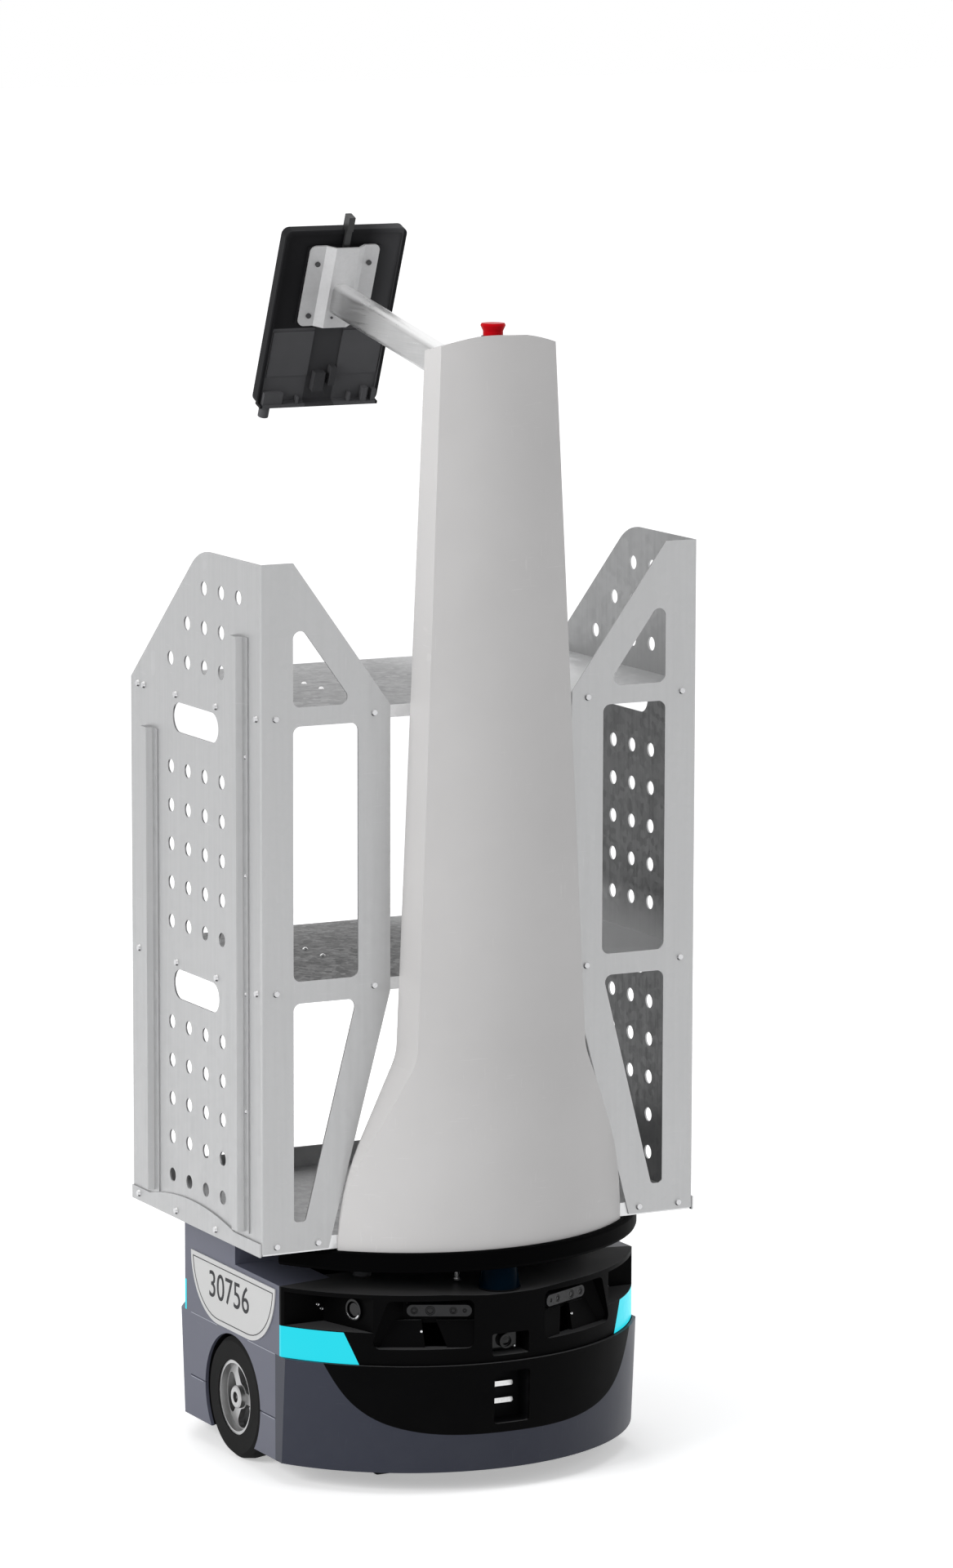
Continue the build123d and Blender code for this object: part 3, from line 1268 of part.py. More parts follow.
def build():
    os.makedirs("parts", exist_ok=True)
    ring = skirt_ring()
    prism = insert_prism()
    save(front_skirt(ring, prism), "front_skirt")
    save(skirt_insert(ring, prism), "skirt_insert")
    save(rear_skirt(ring), "rear_skirt")
    right_panel, left_panel = both_sides(side_panel(ring))
    save(right_panel, "side_panel_right")
    save(left_panel, "side_panel_left")

    strips = light_strips()
    posts = deck_posts()
    cheeks = both_sides(extrude(Pos(0, 0, SHELL_TOP_Z - SHELL_WALL) * cheek_top(), SHELL_WALL))
    save(group(strips), "light_strips")
    save(group(posts), "deck_posts")
    save(rear_shell(strips), "rear_shell")
    save(sensor_shell(strips, cheeks, posts), "sensor_shell")
    save(group(depth_cameras()), "depth_cameras")
    save(group(side_sensors()), "side_sensors")
    save(nose_camera(), "nose_camera")
    save(lidar_body(), "lidar_body")
    save(lidar_window(), "lidar_window")
    save(port_housing(), "charge_port_housing")
    save(group(charge_contacts()), "charge_contacts")
    save(group(number_plates()), "number_plates")

    save(chassis_plate(), "chassis_plate")
    save(deck_plate(), "deck_plate")
    save(bumper_ring(), "bumper_ring")
    save(battery_pack(), "battery_pack")
    save(control_box(), "control_box")

    drive = {"drive_hub": drive_hub(), "drive_tyre": drive_tyre(), "gearmotor": gearmotor()}
    for name, shape in drive.items():
        right, left = both_sides(shape)
        save(right, f"{name}_right")
        save(left, f"{name}_left")

    mounts = []
    for end, y in (("front", -CASTER_Y), ("rear", CASTER_Y)):
        for side, x in (("left", -CASTER_X), ("right", CASTER_X)):
            place = Pos(x, y, 0)
            mounts.append(place * caster_mount())
            save(place * caster_fork(), f"caster_fork_{end}_{side}")
            save(place * caster_wheel(), f"caster_wheel_{end}_{side}")
    save(group(mounts), "caster_mounts")

    outer = column_form(0)
    hollow = column_form(COL_WALL)
    arm = arm_solid()
    save(column_front_cover(outer, hollow, stop_hole()), "column_front_cover")
    save(column_back_cover(hollow, arm), "column_back_cover")
    save(column_spine(arm), "column_spine")
    save(estop_collar(), "estop_collar")
    save(estop_stem(), "estop_stem")
    save(estop_head(), "estop_head")
    save(display_arm(), "display_arm")
    save(tablet_bracket(), "tablet_bracket")
    save(group(bracket_screws()), "bracket_screws")
    save(tablet_holder(), "tablet_holder")
    save(tablet_body(), "tablet_body")
    save(tablet_glass(), "tablet_glass")
    save(latch_strip(), "latch_strip")

    right_side, left_side = both_sides(rack_side())
    save(right_side, "rack_side_right")
    save(left_side, "rack_side_left")
    save(group(rack_rails()), "rack_rails")
    save(group(kick_strips()), "kick_strips")
    save(folded_shelf(SHELF_Z[0], SHELF_LIP), "shelf_upper")
    save(folded_shelf(SHELF_Z[1], SHELF_LIP), "shelf_middle")
    save(base_tray(), "base_tray")
    save(group(rack_bolts()), "rack_bolts")


build()
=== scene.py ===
import json
import math

import bmesh
import bpy
from mathutils import Matrix, Vector

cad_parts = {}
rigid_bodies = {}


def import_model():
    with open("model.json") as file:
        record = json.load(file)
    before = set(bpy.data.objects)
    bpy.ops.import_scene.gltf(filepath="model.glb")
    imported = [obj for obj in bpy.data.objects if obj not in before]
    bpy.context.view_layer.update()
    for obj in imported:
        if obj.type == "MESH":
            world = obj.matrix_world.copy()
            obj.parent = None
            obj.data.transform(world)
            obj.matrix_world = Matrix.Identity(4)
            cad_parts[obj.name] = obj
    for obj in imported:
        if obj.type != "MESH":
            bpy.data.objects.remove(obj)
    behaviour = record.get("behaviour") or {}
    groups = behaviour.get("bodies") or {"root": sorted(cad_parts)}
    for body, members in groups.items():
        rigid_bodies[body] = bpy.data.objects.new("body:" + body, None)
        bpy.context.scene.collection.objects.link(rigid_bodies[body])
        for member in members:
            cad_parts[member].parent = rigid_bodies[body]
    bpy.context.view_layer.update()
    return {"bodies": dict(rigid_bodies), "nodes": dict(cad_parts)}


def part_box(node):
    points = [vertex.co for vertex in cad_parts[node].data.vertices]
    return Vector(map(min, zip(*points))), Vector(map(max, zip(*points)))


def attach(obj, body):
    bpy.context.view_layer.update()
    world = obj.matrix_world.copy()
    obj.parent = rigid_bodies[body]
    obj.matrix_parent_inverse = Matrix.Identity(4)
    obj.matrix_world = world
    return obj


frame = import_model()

bl_info = {
    "name": "Tote Robot",
    "version": (1, 0, 0),
    "blender": (4, 5, 0),
    "location": "View3D > Sidebar > Robot",
    "description": "Finishes and small fittings for a warehouse robot with a tote rack",
    "category": "Object",
}

MM = 0.001
# Edges sharper than this many degrees stay sharp on the added pieces
SHARP_ANGLE = 35.0
# What the lamps point at
LAMP_AIM = Vector((0.0, 0.0, 0.75))
# The photo's camera: picture size and focal length in pixels, film height, place and turns in degrees
PHOTO_WIDTH, PHOTO_HEIGHT, PHOTO_FOCAL = 1167, 1920, 7888.6
FILM_HEIGHT = 24.0
VIEW_PLACE = Vector((-3.3592, -6.6973, 1.9749))
VIEW_YAW, VIEW_PITCH, VIEW_ROLL = 27.25, 8.987, 0.154


# Sizes and colours that a user would change
def colour(label, words, value):
    """A colour property with its default."""
    return bpy.props.FloatVectorProperty(
        name=label, description=words, subtype="COLOR", size=3, min=0.0, max=1.0, default=value
    )


def length(label, words, value):
    """A length property in metres with its default."""
    return bpy.props.FloatProperty(
        name=label, description=words, default=value, min=0.0, unit="LENGTH", precision=4
    )


def number(label, words, value):
    """A plain number property with its default."""
    return bpy.props.FloatProperty(name=label, description=words, default=value)


class ROBOT_PG_colours(bpy.types.PropertyGroup):
    """Main colours of the robot."""

    column: colour("Column", "Satin paint of the column", (0.575, 0.565, 0.560))
    panel: colour("Panels", "Blue-grey paint of the base panels", (0.092, 0.097, 0.132))
    skirt: colour("Front skirt", "Paint of the rounded front skirt", (0.031, 0.034, 0.049))
    shell: colour("Sensor shell", "Black moulding of the front shell", (0.0020, 0.0020, 0.0021))
    light: colour("Lights", "Lit strips by the corners", (0.016, 0.735, 0.870))
    zinc: colour("Zinc", "Galvanised sheet of the rack", (0.470, 0.472, 0.475))
    # Painted shade: the rack's inner walls are blended to this colour by their place, standing in for the
    # shadow inside the bays
    shade: colour("Painted inner shade", "Painted shade on the inner faces of the rack's sheets", (0.080, 0.081, 0.082))
    stop: colour("Stop button", "Red moulded head", (0.46, 0.002, 0.006))
    holder: colour("Tablet holder", "Grey moulding behind the tablet", (0.011, 0.011, 0.012))
    # The pads colour also carries the painted highlight on the holder's right side
    pads: colour("Holder pads", "Paler lower panels of the tablet holder", (0.084, 0.084, 0.088))
    plate: colour("Number plate", "White printed plate", (0.52, 0.52, 0.515))
    floor: colour("Floor", "White studio floor", (0.90, 0.90, 0.90))


class ROBOT_PG_sizes(bpy.types.PropertyGroup):
    """Sizes of the fittings that are added to the frame."""

    edge: length("Edge radius", "Softened edges of the sheet and mouldings", 0.0007)
    digit_height: length("Digits", "Height of the digits on the number plates", 0.033)
    border: length("Plate border", "Width of the line round the number plates", 0.0010)
    border_inset: length("Border inset", "From the plate's edge to its line", 0.0055)
    camera_turn: number("Camera turn", "Angle of each depth camera from the front, in degrees", 26.5)


def colours():
    return bpy.context.scene.robot_colours


def sizes():
    return bpy.context.scene.robot_sizes


# Shader graph helpers
def put(tree, kind, **sockets):
    """A node with its values set or its inputs linked, by input name."""
    made = tree.nodes.new(kind)
    for key, value in sockets.items():
        if key.startswith("_"):
            setattr(made, key[1:], value)
    for key, value in sockets.items():
        if not key.startswith("_"):
            feed(tree, made, key.replace("__", " "), value)
    return made


def feed(tree, made, key, value):
    """Set one input of a node, or link it to another node's output."""
    socket = made.inputs[int(key[1:])] if key[0] == "i" and key[1:].isdigit() else made.inputs[key]
    if isinstance(value, bpy.types.NodeSocket):
        tree.links.new(value, socket)
    elif isinstance(value, (tuple, list)) and socket.type == "RGBA" and len(value) == 3:
        socket.default_value = (*value, 1.0)
    else:
        socket.default_value = value


def maths(tree, operation, a, b=0.0, clamp=False):
    return put(tree, "ShaderNodeMath", _operation=operation, _use_clamp=clamp, i0=a, i1=b).outputs[0]


def blend(tree, factor, a, b):
    """Mix two colours; mix nodes have one socket set for each data type."""
    made = tree.nodes.new("ShaderNodeMix")
    made.data_type = "RGBA"
    for index, value in ((0, factor), (6, a), (7, b)):
        if isinstance(value, bpy.types.NodeSocket):
            tree.links.new(value, made.inputs[index])
        elif index == 0:
            made.inputs[0].default_value = value
        else:
            made.inputs[index].default_value = (*value[:3], 1.0)
    return made.outputs[2]


def spread(tree, value, low, high, to_low=0.0, to_high=1.0):
    """Map a range of one value onto another, clamped."""
    made = put(tree, "ShaderNodeMapRange", Value=value)
    for key, setting in (("From Min", low), ("From Max", high), ("To Min", to_low), ("To Max", to_high)):
        feed(tree, made, key, setting)
    return made.outputs[0]


def noise(tree, vector, scale, detail=3.0, rough=0.5):
    return put(
        tree, "ShaderNodeTexNoise", Vector=vector, Scale=scale, Detail=detail, Roughness=rough
    ).outputs[0]


def axes(tree, vector):
    """The X, Y and Z outputs of a vector."""
    return put(tree, "ShaderNodeSeparateXYZ", Vector=vector).outputs


def normal_axes(tree):
    """The X, Y and Z outputs of the surface's normal."""
    return axes(tree, put(tree, "ShaderNodeNewGeometry").outputs["Normal"])


def direct_rays(tree):
    """1 for camera, glossy and transmission rays, which see the plain white background."""
    rays = put(tree, "ShaderNodeLightPath")
    seen = maths(tree, "MAXIMUM", rays.outputs["Is Camera Ray"], rays.outputs["Is Glossy Ray"])
    return maths(tree, "MAXIMUM", seen, rays.outputs["Is Transmission Ray"])


def stretch(tree, vector, scale):
    return put(tree, "ShaderNodeMapping", Vector=vector, Scale=scale).outputs[0]


def new_group(name, inputs, outputs):
    """An empty shader group with named float sockets."""
    tree = bpy.data.node_groups.new(name, "ShaderNodeTree")
    for label, value in inputs:
        socket = tree.interface.new_socket(label, in_out="INPUT", socket_type="NodeSocketFloat")
        socket.default_value = value
    for label in outputs:
        tree.interface.new_socket(label, in_out="OUTPUT", socket_type="NodeSocketFloat")
    start = tree.nodes.new("NodeGroupInput")
    end = tree.nodes.new("NodeGroupOutput")
    place = put(tree, "ShaderNodeTexCoord").outputs["Object"]
    return tree, start, end, place


def grain_group():
    """Fine moulded or powder grain, with broad faint blotches."""
    tree, start, end, place = new_group(
        "Surface Grain", [("Grain Scale", 900.0), ("Blotch Scale", 14.0)], ["Height", "Blotch"]
    )
    fine = put(tree, "ShaderNodeTexNoise", Vector=place, Scale=start.outputs[0], Detail=2.0)
    tree.links.new(fine.outputs[0], end.inputs[0])
    broad = put(tree, "ShaderNodeTexNoise", Vector=place, Scale=start.outputs[1], Detail=4.0)
    tree.links.new(spread(tree, broad.outputs[0], 0.3, 0.7), end.inputs[1])
    return tree


def dust_group():
    """Dust that settles on upward faces and near the floor."""
    tree, start, end, place = new_group(
        "Settled Dust", [("Floor Reach", 0.16), ("Amount", 0.5)], ["Mask"]
    )
    up = normal_axes(tree)[2]
    high = axes(tree, place)[2]
    low = spread(tree, high, 0.0, start.outputs[0], 0.55, 0.0)
    top = spread(tree, up, 0.55, 1.0, 0.0, 0.45)
    patch = spread(tree, noise(tree, place, 31.0, 6.0, 0.65), 0.38, 0.72)
    total = maths(tree, "MULTIPLY", maths(tree, "ADD", low, top), patch)
    tree.links.new(maths(tree, "MULTIPLY", total, start.outputs[1], clamp=True), end.inputs[0])
    return tree


def scuff_group():
    """Short thin scratches running across the surface in two directions."""
    tree, start, end, place = new_group(
        "Light Scuffs", [("Scale", 60.0), ("Cover", 0.5)], ["Mask"]
    )
    masks = []
    for turn, long_way in ((0.35, (1.0, 1.0, 16.0)), (1.2, (14.0, 1.0, 1.0))):
        angles = (turn, turn * 0.4, turn)
        lean = put(tree, "ShaderNodeMapping", Vector=place, Rotation=angles, Scale=long_way)
        streak = put(
            tree, "ShaderNodeTexNoise", Vector=lean.outputs[0], Scale=start.outputs[0], Detail=1.0
        ).outputs[0]
        masks.append(spread(tree, streak, 0.70, 0.74))
    some = maths(tree, "MAXIMUM", masks[0], masks[1])
    where = spread(tree, noise(tree, place, 9.0), 0.52, 0.60)
    total = maths(tree, "MULTIPLY", maths(tree, "MULTIPLY", some, where), start.outputs[1])
    tree.links.new(total, end.inputs[0])
    return tree


def spangle_group():
    """Crystal patches of hot-dip zinc, with faint rolling lines."""
    tree, start, end, place = new_group(
        "Zinc Spangle", [("Crystal Scale", 95.0), ("Rolling Scale", 260.0)], ["Crystal", "Rolling"]
    )
    cells = put(tree, "ShaderNodeTexVoronoi", Vector=place, Scale=start.outputs[0])
    shade = put(tree, "ShaderNodeSeparateColor", Color=cells.outputs["Color"]).outputs[0]
    tree.links.new(shade, end.inputs[0])
    drawn = stretch(tree, place, (1.0, 1.0, 0.03))
    lines = put(tree, "ShaderNodeTexNoise", Vector=drawn, Scale=start.outputs[1], Detail=3.0)
    tree.links.new(lines.outputs[0], end.inputs[1])
    return tree


def brushed_group():
    """Fine lines of brushed or turned metal along one axis."""
    tree, start, end, place = new_group(
        "Brushed Lines", [("X Scale", 1.0), ("Y Scale", 1.0), ("Z Scale", 1.0)], ["Lines"]
    )
    along = axes(tree, place)
    parts = [maths(tree, "MULTIPLY", along[k], start.outputs[k]) for k in range(3)]
    joined = put(tree, "ShaderNodeCombineXYZ", i0=parts[0], i1=parts[1], i2=parts[2]).outputs[0]
    tree.links.new(noise(tree, joined, 1.0, 2.0, 0.6), end.inputs[0])
    return tree


def bay_group():
    """Masks for painted shade: where the rack's inner walls and shelf tops lie in shade."""
    heights = [("Upper Shelf", 0.916), ("Middle Shelf", 0.6)]
    tree, start, end, place = new_group("Bay Shade", heights, ["Wall", "Shelf"])
    normal = normal_axes(tree)
    spot = axes(tree, place)
    # Negative where a sheet far from the middle plane faces it
    inward = maths(tree, "MULTIPLY", normal[0], spot[0])
    inner = spread(tree, inward, -0.22, -0.16, 1.0, 0.0)
    above_upper = maths(tree, "SUBTRACT", spot[2], start.outputs[0])
    above_middle = maths(tree, "SUBTRACT", spot[2], start.outputs[1])
    # Painted shade on the inner walls: full below the upper shelf, weaker above it, and lighter just above
    # the middle shelf
    top_bay = spread(tree, above_upper, -0.01, 0.0, 1.0, 0.42)
    fade = spread(tree, above_middle, 0.0, 0.055, 0.25, 1.0)
    under = spread(tree, above_middle, -0.012, -0.008, 1.0, 0.0)
    lit = maths(tree, "MAXIMUM", fade, under)
    wall = maths(tree, "MULTIPLY", maths(tree, "MULTIPLY", inner, top_bay), lit)
    tree.links.new(wall, end.inputs[0])
    # Painted shade on the shelf tops: strongest left of the middle, fading towards the right side and a
    # little towards the back
    top = spread(tree, normal[2], 0.5, 0.9)
    across = spread(tree, spot[0], 0.02, 0.19, 1.0, 0.0)
    back = spread(tree, spot[1], 0.04, 0.16, 1.0, 0.86)
    shelf = maths(tree, "MULTIPLY", maths(tree, "MULTIPLY", top, across), back)
    tree.links.new(shelf, end.inputs[1])
    return tree


GROUPS = {}


def shared(tree, name, **values):
    """Place a shared group in a material with its own values."""
    made = tree.nodes.new("ShaderNodeGroup")
    made.node_tree = GROUPS[name]
    for key, value in values.items():
        feed(tree, made, key.replace("_", " "), value)
    return made


MATERIALS = {}


def material(name):
    """A new material with its output and main shader; returns the graph and the shader."""
    made = bpy.data.materials.new(name)
    made.use_nodes = True
    tree = made.node_tree
    tree.nodes.clear()
    shader = tree.nodes.new("ShaderNodeBsdfPrincipled")
    end = tree.nodes.new("ShaderNodeOutputMaterial")
    tree.links.new(shader.outputs[0], end.inputs[0])
    MATERIALS[name] = made
    return tree, shader


def bump(tree, height, strength, distance):
    return put(
        tree, "ShaderNodeBump", Height=height, Strength=strength, Distance=distance
    ).outputs[0]


def paint(name, tint, rough, coat=0.05, dust=0.35, peel=240.0, sheen=0.25):
    """Sprayed satin paint: faint shade changes, orange peel, scuffs and a little dust."""
    tree, shader = material(name)
    grain = shared(tree, "grain", Grain_Scale=peel, Blotch_Scale=5.0)
    dusty = shared(tree, "dust", Floor_Reach=0.15, Amount=dust)
    scuffs = shared(tree, "scuff", Scale=34.0, Cover=0.16)
    darker = tuple(c * 0.93 for c in tint)
    base = blend(tree, grain.outputs["Blotch"], darker, tint)
    base = blend(tree, dusty.outputs[0], base, tuple(min(1.0, c * 0.7 + 0.09) for c in tint))
    base = blend(tree, scuffs.outputs[0], base, tuple(min(1.0, c * 1.3 + 0.03) for c in tint))
    feed(tree, shader, "Base Color", base)
    uneven = spread(tree, grain.outputs["Blotch"], 0.0, 1.0, rough - 0.04, rough + 0.06)
    feed(tree, shader, "Roughness", uneven)
    feed(tree, shader, "Specular IOR Level", sheen)
    feed(tree, shader, "Coat Weight", coat)
    feed(tree, shader, "Coat Roughness", 0.22)
    feed(tree, shader, "Normal", bump(tree, grain.outputs["Height"], 0.10, 0.0004))


def moulding(name, tint, rough, dust=0.3, lift=0.06, sheen=0.08, pads=None, top=None):
    """Grained plastic moulding with soft sheen changes and dust, paler pads low down, and painted light on
    up-facing faces where a top colour is given.
    """
    tree, shader = material(name)
    grain = shared(tree, "grain", Grain_Scale=1100.0, Blotch_Scale=12.0)
    dusty = shared(tree, "dust", Floor_Reach=0.14, Amount=dust)
    lighter = tuple(min(1.0, c * 1.25 + lift * 0.02) for c in tint)
    base = blend(tree, grain.outputs["Blotch"], tint, lighter)
    if pads:
        mask = pad_mask(tree)
        paler = blend(tree, grain.outputs["Blotch"], pads, tuple(c * 1.15 for c in pads))
        base = blend(tree, mask, base, paler)
    base = blend(tree, dusty.outputs[0], base, tuple(c * 0.6 + lift for c in tint))
    # Painted light: up-facing faces blend to the top colour
    if top:
        up = normal_axes(tree)[2]
        base = blend(tree, spread(tree, up, 0.7, 0.97), base, top)
    feed(tree, shader, "Base Color", base)
    uneven = spread(tree, grain.outputs["Blotch"], 0.0, 1.0, rough - 0.05, rough + 0.07)
    feed(tree, shader, "Roughness", uneven)
    feed(tree, shader, "Specular IOR Level", sheen)
    feed(tree, shader, "Normal", bump(tree, grain.outputs["Height"], 0.16, 0.0003))


def pad_mask(tree):
    """The tablet holder's paler places: below the bracket, beside a darker middle band, and a painted
    highlight that grows towards the right side.
    """
    low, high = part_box("tablet_holder")
    place = put(tree, "ShaderNodeTexCoord").outputs["Object"]
    spot = axes(tree, place)
    line = low.z + (high.z - low.z) * 0.47
    below = spread(tree, spot[2], line - 0.0006, line + 0.0006, 1.0, 0.0)
    from_middle = maths(tree, "ABSOLUTE", spot[0])
    beside = spread(tree, from_middle, 0.0185, 0.0195, 0.45, 1.0)
    rim = spread(tree, from_middle, 0.0745, 0.0755, 1.0, 0.0)
    # Painted highlight: paler towards the holder's right side, as light falling from there
    right = spread(tree, spot[0], 0.030, 0.072, 0.0, 0.62)
    lit = maths(tree, "MAXIMUM", maths(tree, "MULTIPLY", below, beside), right)
    return maths(tree, "MULTIPLY", lit, rim)


def zinc(name, tint, bay, dark, lines=0.05):
    """Galvanised sheet: crystal patches, faint rolling lines and handling marks, with painted shade blended
    in by the bay masks.
    """
    tree, shader = material(name)
    crystal = shared(tree, "spangle", Crystal_Scale=120.0, Rolling_Scale=230.0)
    scuffs = shared(tree, "scuff", Scale=26.0, Cover=0.12)
    grain = shared(tree, "grain", Grain_Scale=420.0, Blotch_Scale=3.5)
    rough = 0.42
    low = tuple(c * 0.90 for c in tint)
    base = blend(tree, spread(tree, crystal.outputs[0], 0.0, 1.0, 0.35, 1.0), low, tint)
    base = blend(tree, maths(tree, "MULTIPLY", grain.outputs["Blotch"], 0.25), base, low)
    base = blend(tree, scuffs.outputs[0], base, (0.66, 0.66, 0.67))
    # Painted shade: the bay mask blends the sheet towards the dark colour on the rack's inner walls and shelf
    # tops
    upper, middle = (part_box(node)[1].z for node in ("shelf_upper", "shelf_middle"))
    shade = shared(tree, "bay", Upper_Shelf=upper, Middle_Shelf=middle)
    base = blend(tree, shade.outputs[bay], base, dark)
    feed(tree, shader, "Base Color", base)
    feed(tree, shader, "Metallic", 0.80)
    uneven = spread(tree, crystal.outputs[0], 0.0, 1.0, rough - 0.07, rough + 0.08)
    lined = spread(tree, crystal.outputs[1], 0.35, 0.65, -0.04, 0.04)
    feed(tree, shader, "Roughness", maths(tree, "ADD", uneven, lined))
    feed(tree, shader, "Normal", bump(tree, crystal.outputs[1], lines, 0.0003))


def metal(name, tint, rough, lines=(300.0, 300.0, 300.0), strength=0.1, metallic=1.0, top=None, under=None):
    """Machined, brushed or plated metal with fine lines and smudges; a top colour is a painted highlight on
    up-facing faces and an under colour is painted shade on down-facing ones.
    """
    tree, shader = material(name)
    drawn = shared(tree, "brushed", X_Scale=lines[0], Y_Scale=lines[1], Z_Scale=lines[2])
    grain = shared(tree, "grain", Grain_Scale=700.0, Blotch_Scale=22.0)
    base = blend(tree, grain.outputs["Blotch"], tuple(c * 0.86 for c in tint), tint)
    base = blend(tree, maths(tree, "MULTIPLY", drawn.outputs[0], 0.3), base, tuple(c * 0.7 for c in tint))
    # Painted highlight on up-facing faces, and painted shade on down-facing ones
    if top:
        up = normal_axes(tree)[2]
        base = blend(tree, spread(tree, up, 0.25, 0.8), base, top)
        if under:
            base = blend(tree, spread(tree, up, -0.6, -0.2, 1.0, 0.0), base, under)
    feed(tree, shader, "Base Color", base)
    feed(tree, shader, "Metallic", metallic)
    feed(tree, shader, "Roughness", spread(tree, drawn.outputs[0], 0.3, 0.7, rough - 0.06, rough + 0.08))
    feed(tree, shader, "Normal", bump(tree, drawn.outputs[0], strength, 0.0002))


def gloss(name, tint, rough, coat=0.3, dust=0.03, sheen=0.3):
    """Glossy moulding or lens with faint wipe marks."""
    tree, shader = material(name)
    grain = shared(tree, "grain", Grain_Scale=500.0, Blotch_Scale=40.0)
    dusty = shared(tree, "dust", Floor_Reach=0.2, Amount=dust)
    base = blend(tree, dusty.outputs[0], tint, tuple(c * 0.7 + 0.08 for c in tint))
    feed(tree, shader, "Base Color", base)
    feed(tree, shader, "Roughness", spread(tree, grain.outputs["Blotch"], 0.0, 1.0, rough, rough + 0.05))
    feed(tree, shader, "Specular IOR Level", sheen)
    feed(tree, shader, "Coat Weight", coat)
    feed(tree, shader, "Coat Roughness", 0.06)
    feed(tree, shader, "Normal", bump(tree, grain.outputs["Height"], 0.02, 0.0002))


def rubber(name, tint, rough, wear):
    """Dull rubber with a fine skin, scuffs and floor dust."""
    tree, shader = material(name)
    grain = shared(tree, "grain", Grain_Scale=800.0, Blotch_Scale=18.0)
    dusty = shared(tree, "dust", Floor_Reach=0.10, Amount=wear)
    scuffs = shared(tree, "scuff", Scale=70.0, Cover=wear)
    base = blend(tree, grain.outputs["Blotch"], tint, tuple(c * 1.3 for c in tint))
    base = blend(tree, dusty.outputs[0], base, tuple(c * 0.7 + 0.03 for c in tint))
    base = blend(tree, scuffs.outputs[0], base, tuple(c * 0.8 + 0.02 for c in tint))
    feed(tree, shader, "Specular IOR Level", 0.01)
    feed(tree, shader, "Base Color", base)
    feed(tree, shader, "Roughness", spread(tree, grain.outputs["Blotch"], 0.0, 1.0, rough, rough + 0.14))
    feed(tree, shader, "Normal", bump(tree, grain.outputs["Height"], 0.2, 0.0003))


def lit_strip(name, tint, strength):
    """Lit diffuser: even glow with a faint milky pattern."""
    tree, shader = material(name)
    grain = shared(tree, "grain", Grain_Scale=160.0, Blotch_Scale=7.0)
    paler = tuple(c * 0.96 + 0.012 for c in tint)
    glow = blend(tree, grain.outputs["Blotch"], tint, paler)
    unlit = blend(tree, grain.outputs["Blotch"], (0.0, 0.02, 0.03), (0.0, 0.03, 0.04))
    feed(tree, shader, "Base Color", unlit)
    feed(tree, shader, "Emission Color", glow)
    feed(tree, shader, "Emission Strength", strength)
    feed(tree, shader, "Specular IOR Level", 0.08)
    feed(tree, shader, "Roughness", spread(tree, grain.outputs["Height"], 0.3, 0.7, 0.28, 0.36))


def screen_glass(name):
    """Dark cover glass with faint uneven tone and finger marks."""
    tree, shader = material(name)
    grain = shared(tree, "grain", Grain_Scale=300.0, Blotch_Scale=26.0)
    base = blend(tree, grain.outputs["Blotch"], (0.004, 0.0045, 0.006), (0.007, 0.008, 0.010))
    feed(tree, shader, "Base Color", base)
    feed(tree, shader, "Roughness", spread(tree, grain.outputs["Blotch"], 0.2, 1.0, 0.03, 0.11))
    feed(tree, shader, "Coat Weight", 1.0)
    feed(tree, shader, "Coat Roughness", 0.03)


# Mesh helpers
def piece(name, bm, body, finish):
    """Turn mesh data into an object of the robot that rides on a body."""
    bmesh.ops.recalc_face_normals(bm, faces=bm.faces)
    mesh = bpy.data.meshes.new(name)
    bm.to_mesh(mesh)
    bm.free()
    made = bpy.data.objects.new(name, mesh)
    bpy.context.scene.collection.objects.link(made)
    mesh.materials.append(MATERIALS[finish])
    for face in mesh.polygons:
        face.use_smooth = True
    mesh.set_sharp_from_angle(angle=math.radians(SHARP_ANGLE))
    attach(made, body)
    return made


def facing(place, normal, up=(0.0, 0.0, 1.0)):
    """A matrix at a place with local Z along the normal and local Y near up."""
    z = Vector(normal).normalized()
    y = Vector(up)
    y = (y - z * y.dot(z)).normalized()
    x = y.cross(z)
    matrix = Matrix((x, y, z)).transposed().to_4x4()
    matrix.translation = Vector(place)
    return matrix


def lathe(bm, profile, matrix, segments=32):
    """Spin (radius, height) points about local Z into closed rings."""
    rings = []
    for radius, height in profile:
        if radius <= 0.0:
            rings.append([bm.verts.new(matrix @ Vector((0.0, 0.0, height)))])
            continue
        ring = []
        for k in range(segments):
            a = 2 * math.pi * k / segments
            spot = Vector((radius * math.cos(a), radius * math.sin(a), height))
            ring.append(bm.verts.new(matrix @ spot))
        rings.append(ring)
    for low, high in zip(rings, rings[1:]):
        for k in range(segments):
            n = (k + 1) % segments
            if len(low) == 1:
                bm.faces.new((low[0], high[k], high[n]))
            elif len(high) == 1:
                bm.faces.new((low[k], low[n], high[0]))
            else:
                bm.faces.new((low[k], low[n], high[n], high[k]))
    return rings


def slab(bm, outline, depth, matrix, bevel=0.0):
    """A closed plate from a 2-D outline, its front edges softened."""
    low = [bm.verts.new(matrix @ Vector((x, y, 0.0))) for x, y in outline]
    high = [bm.verts.new(matrix @ Vector((x, y, depth))) for x, y in outline]
    bm.faces.new(list(reversed(low)))
    cap = bm.faces.new(high)
    count = len(outline)
    for k in range(count):
        n = (k + 1) % count
        bm.faces.new((low[k], low[n], high[n], high[k]))
    if bevel > 0.0:
        bmesh.ops.bevel(bm, geom=list(cap.edges), offset=bevel, segments=2, affect="EDGES", profile=0.6)
    return cap


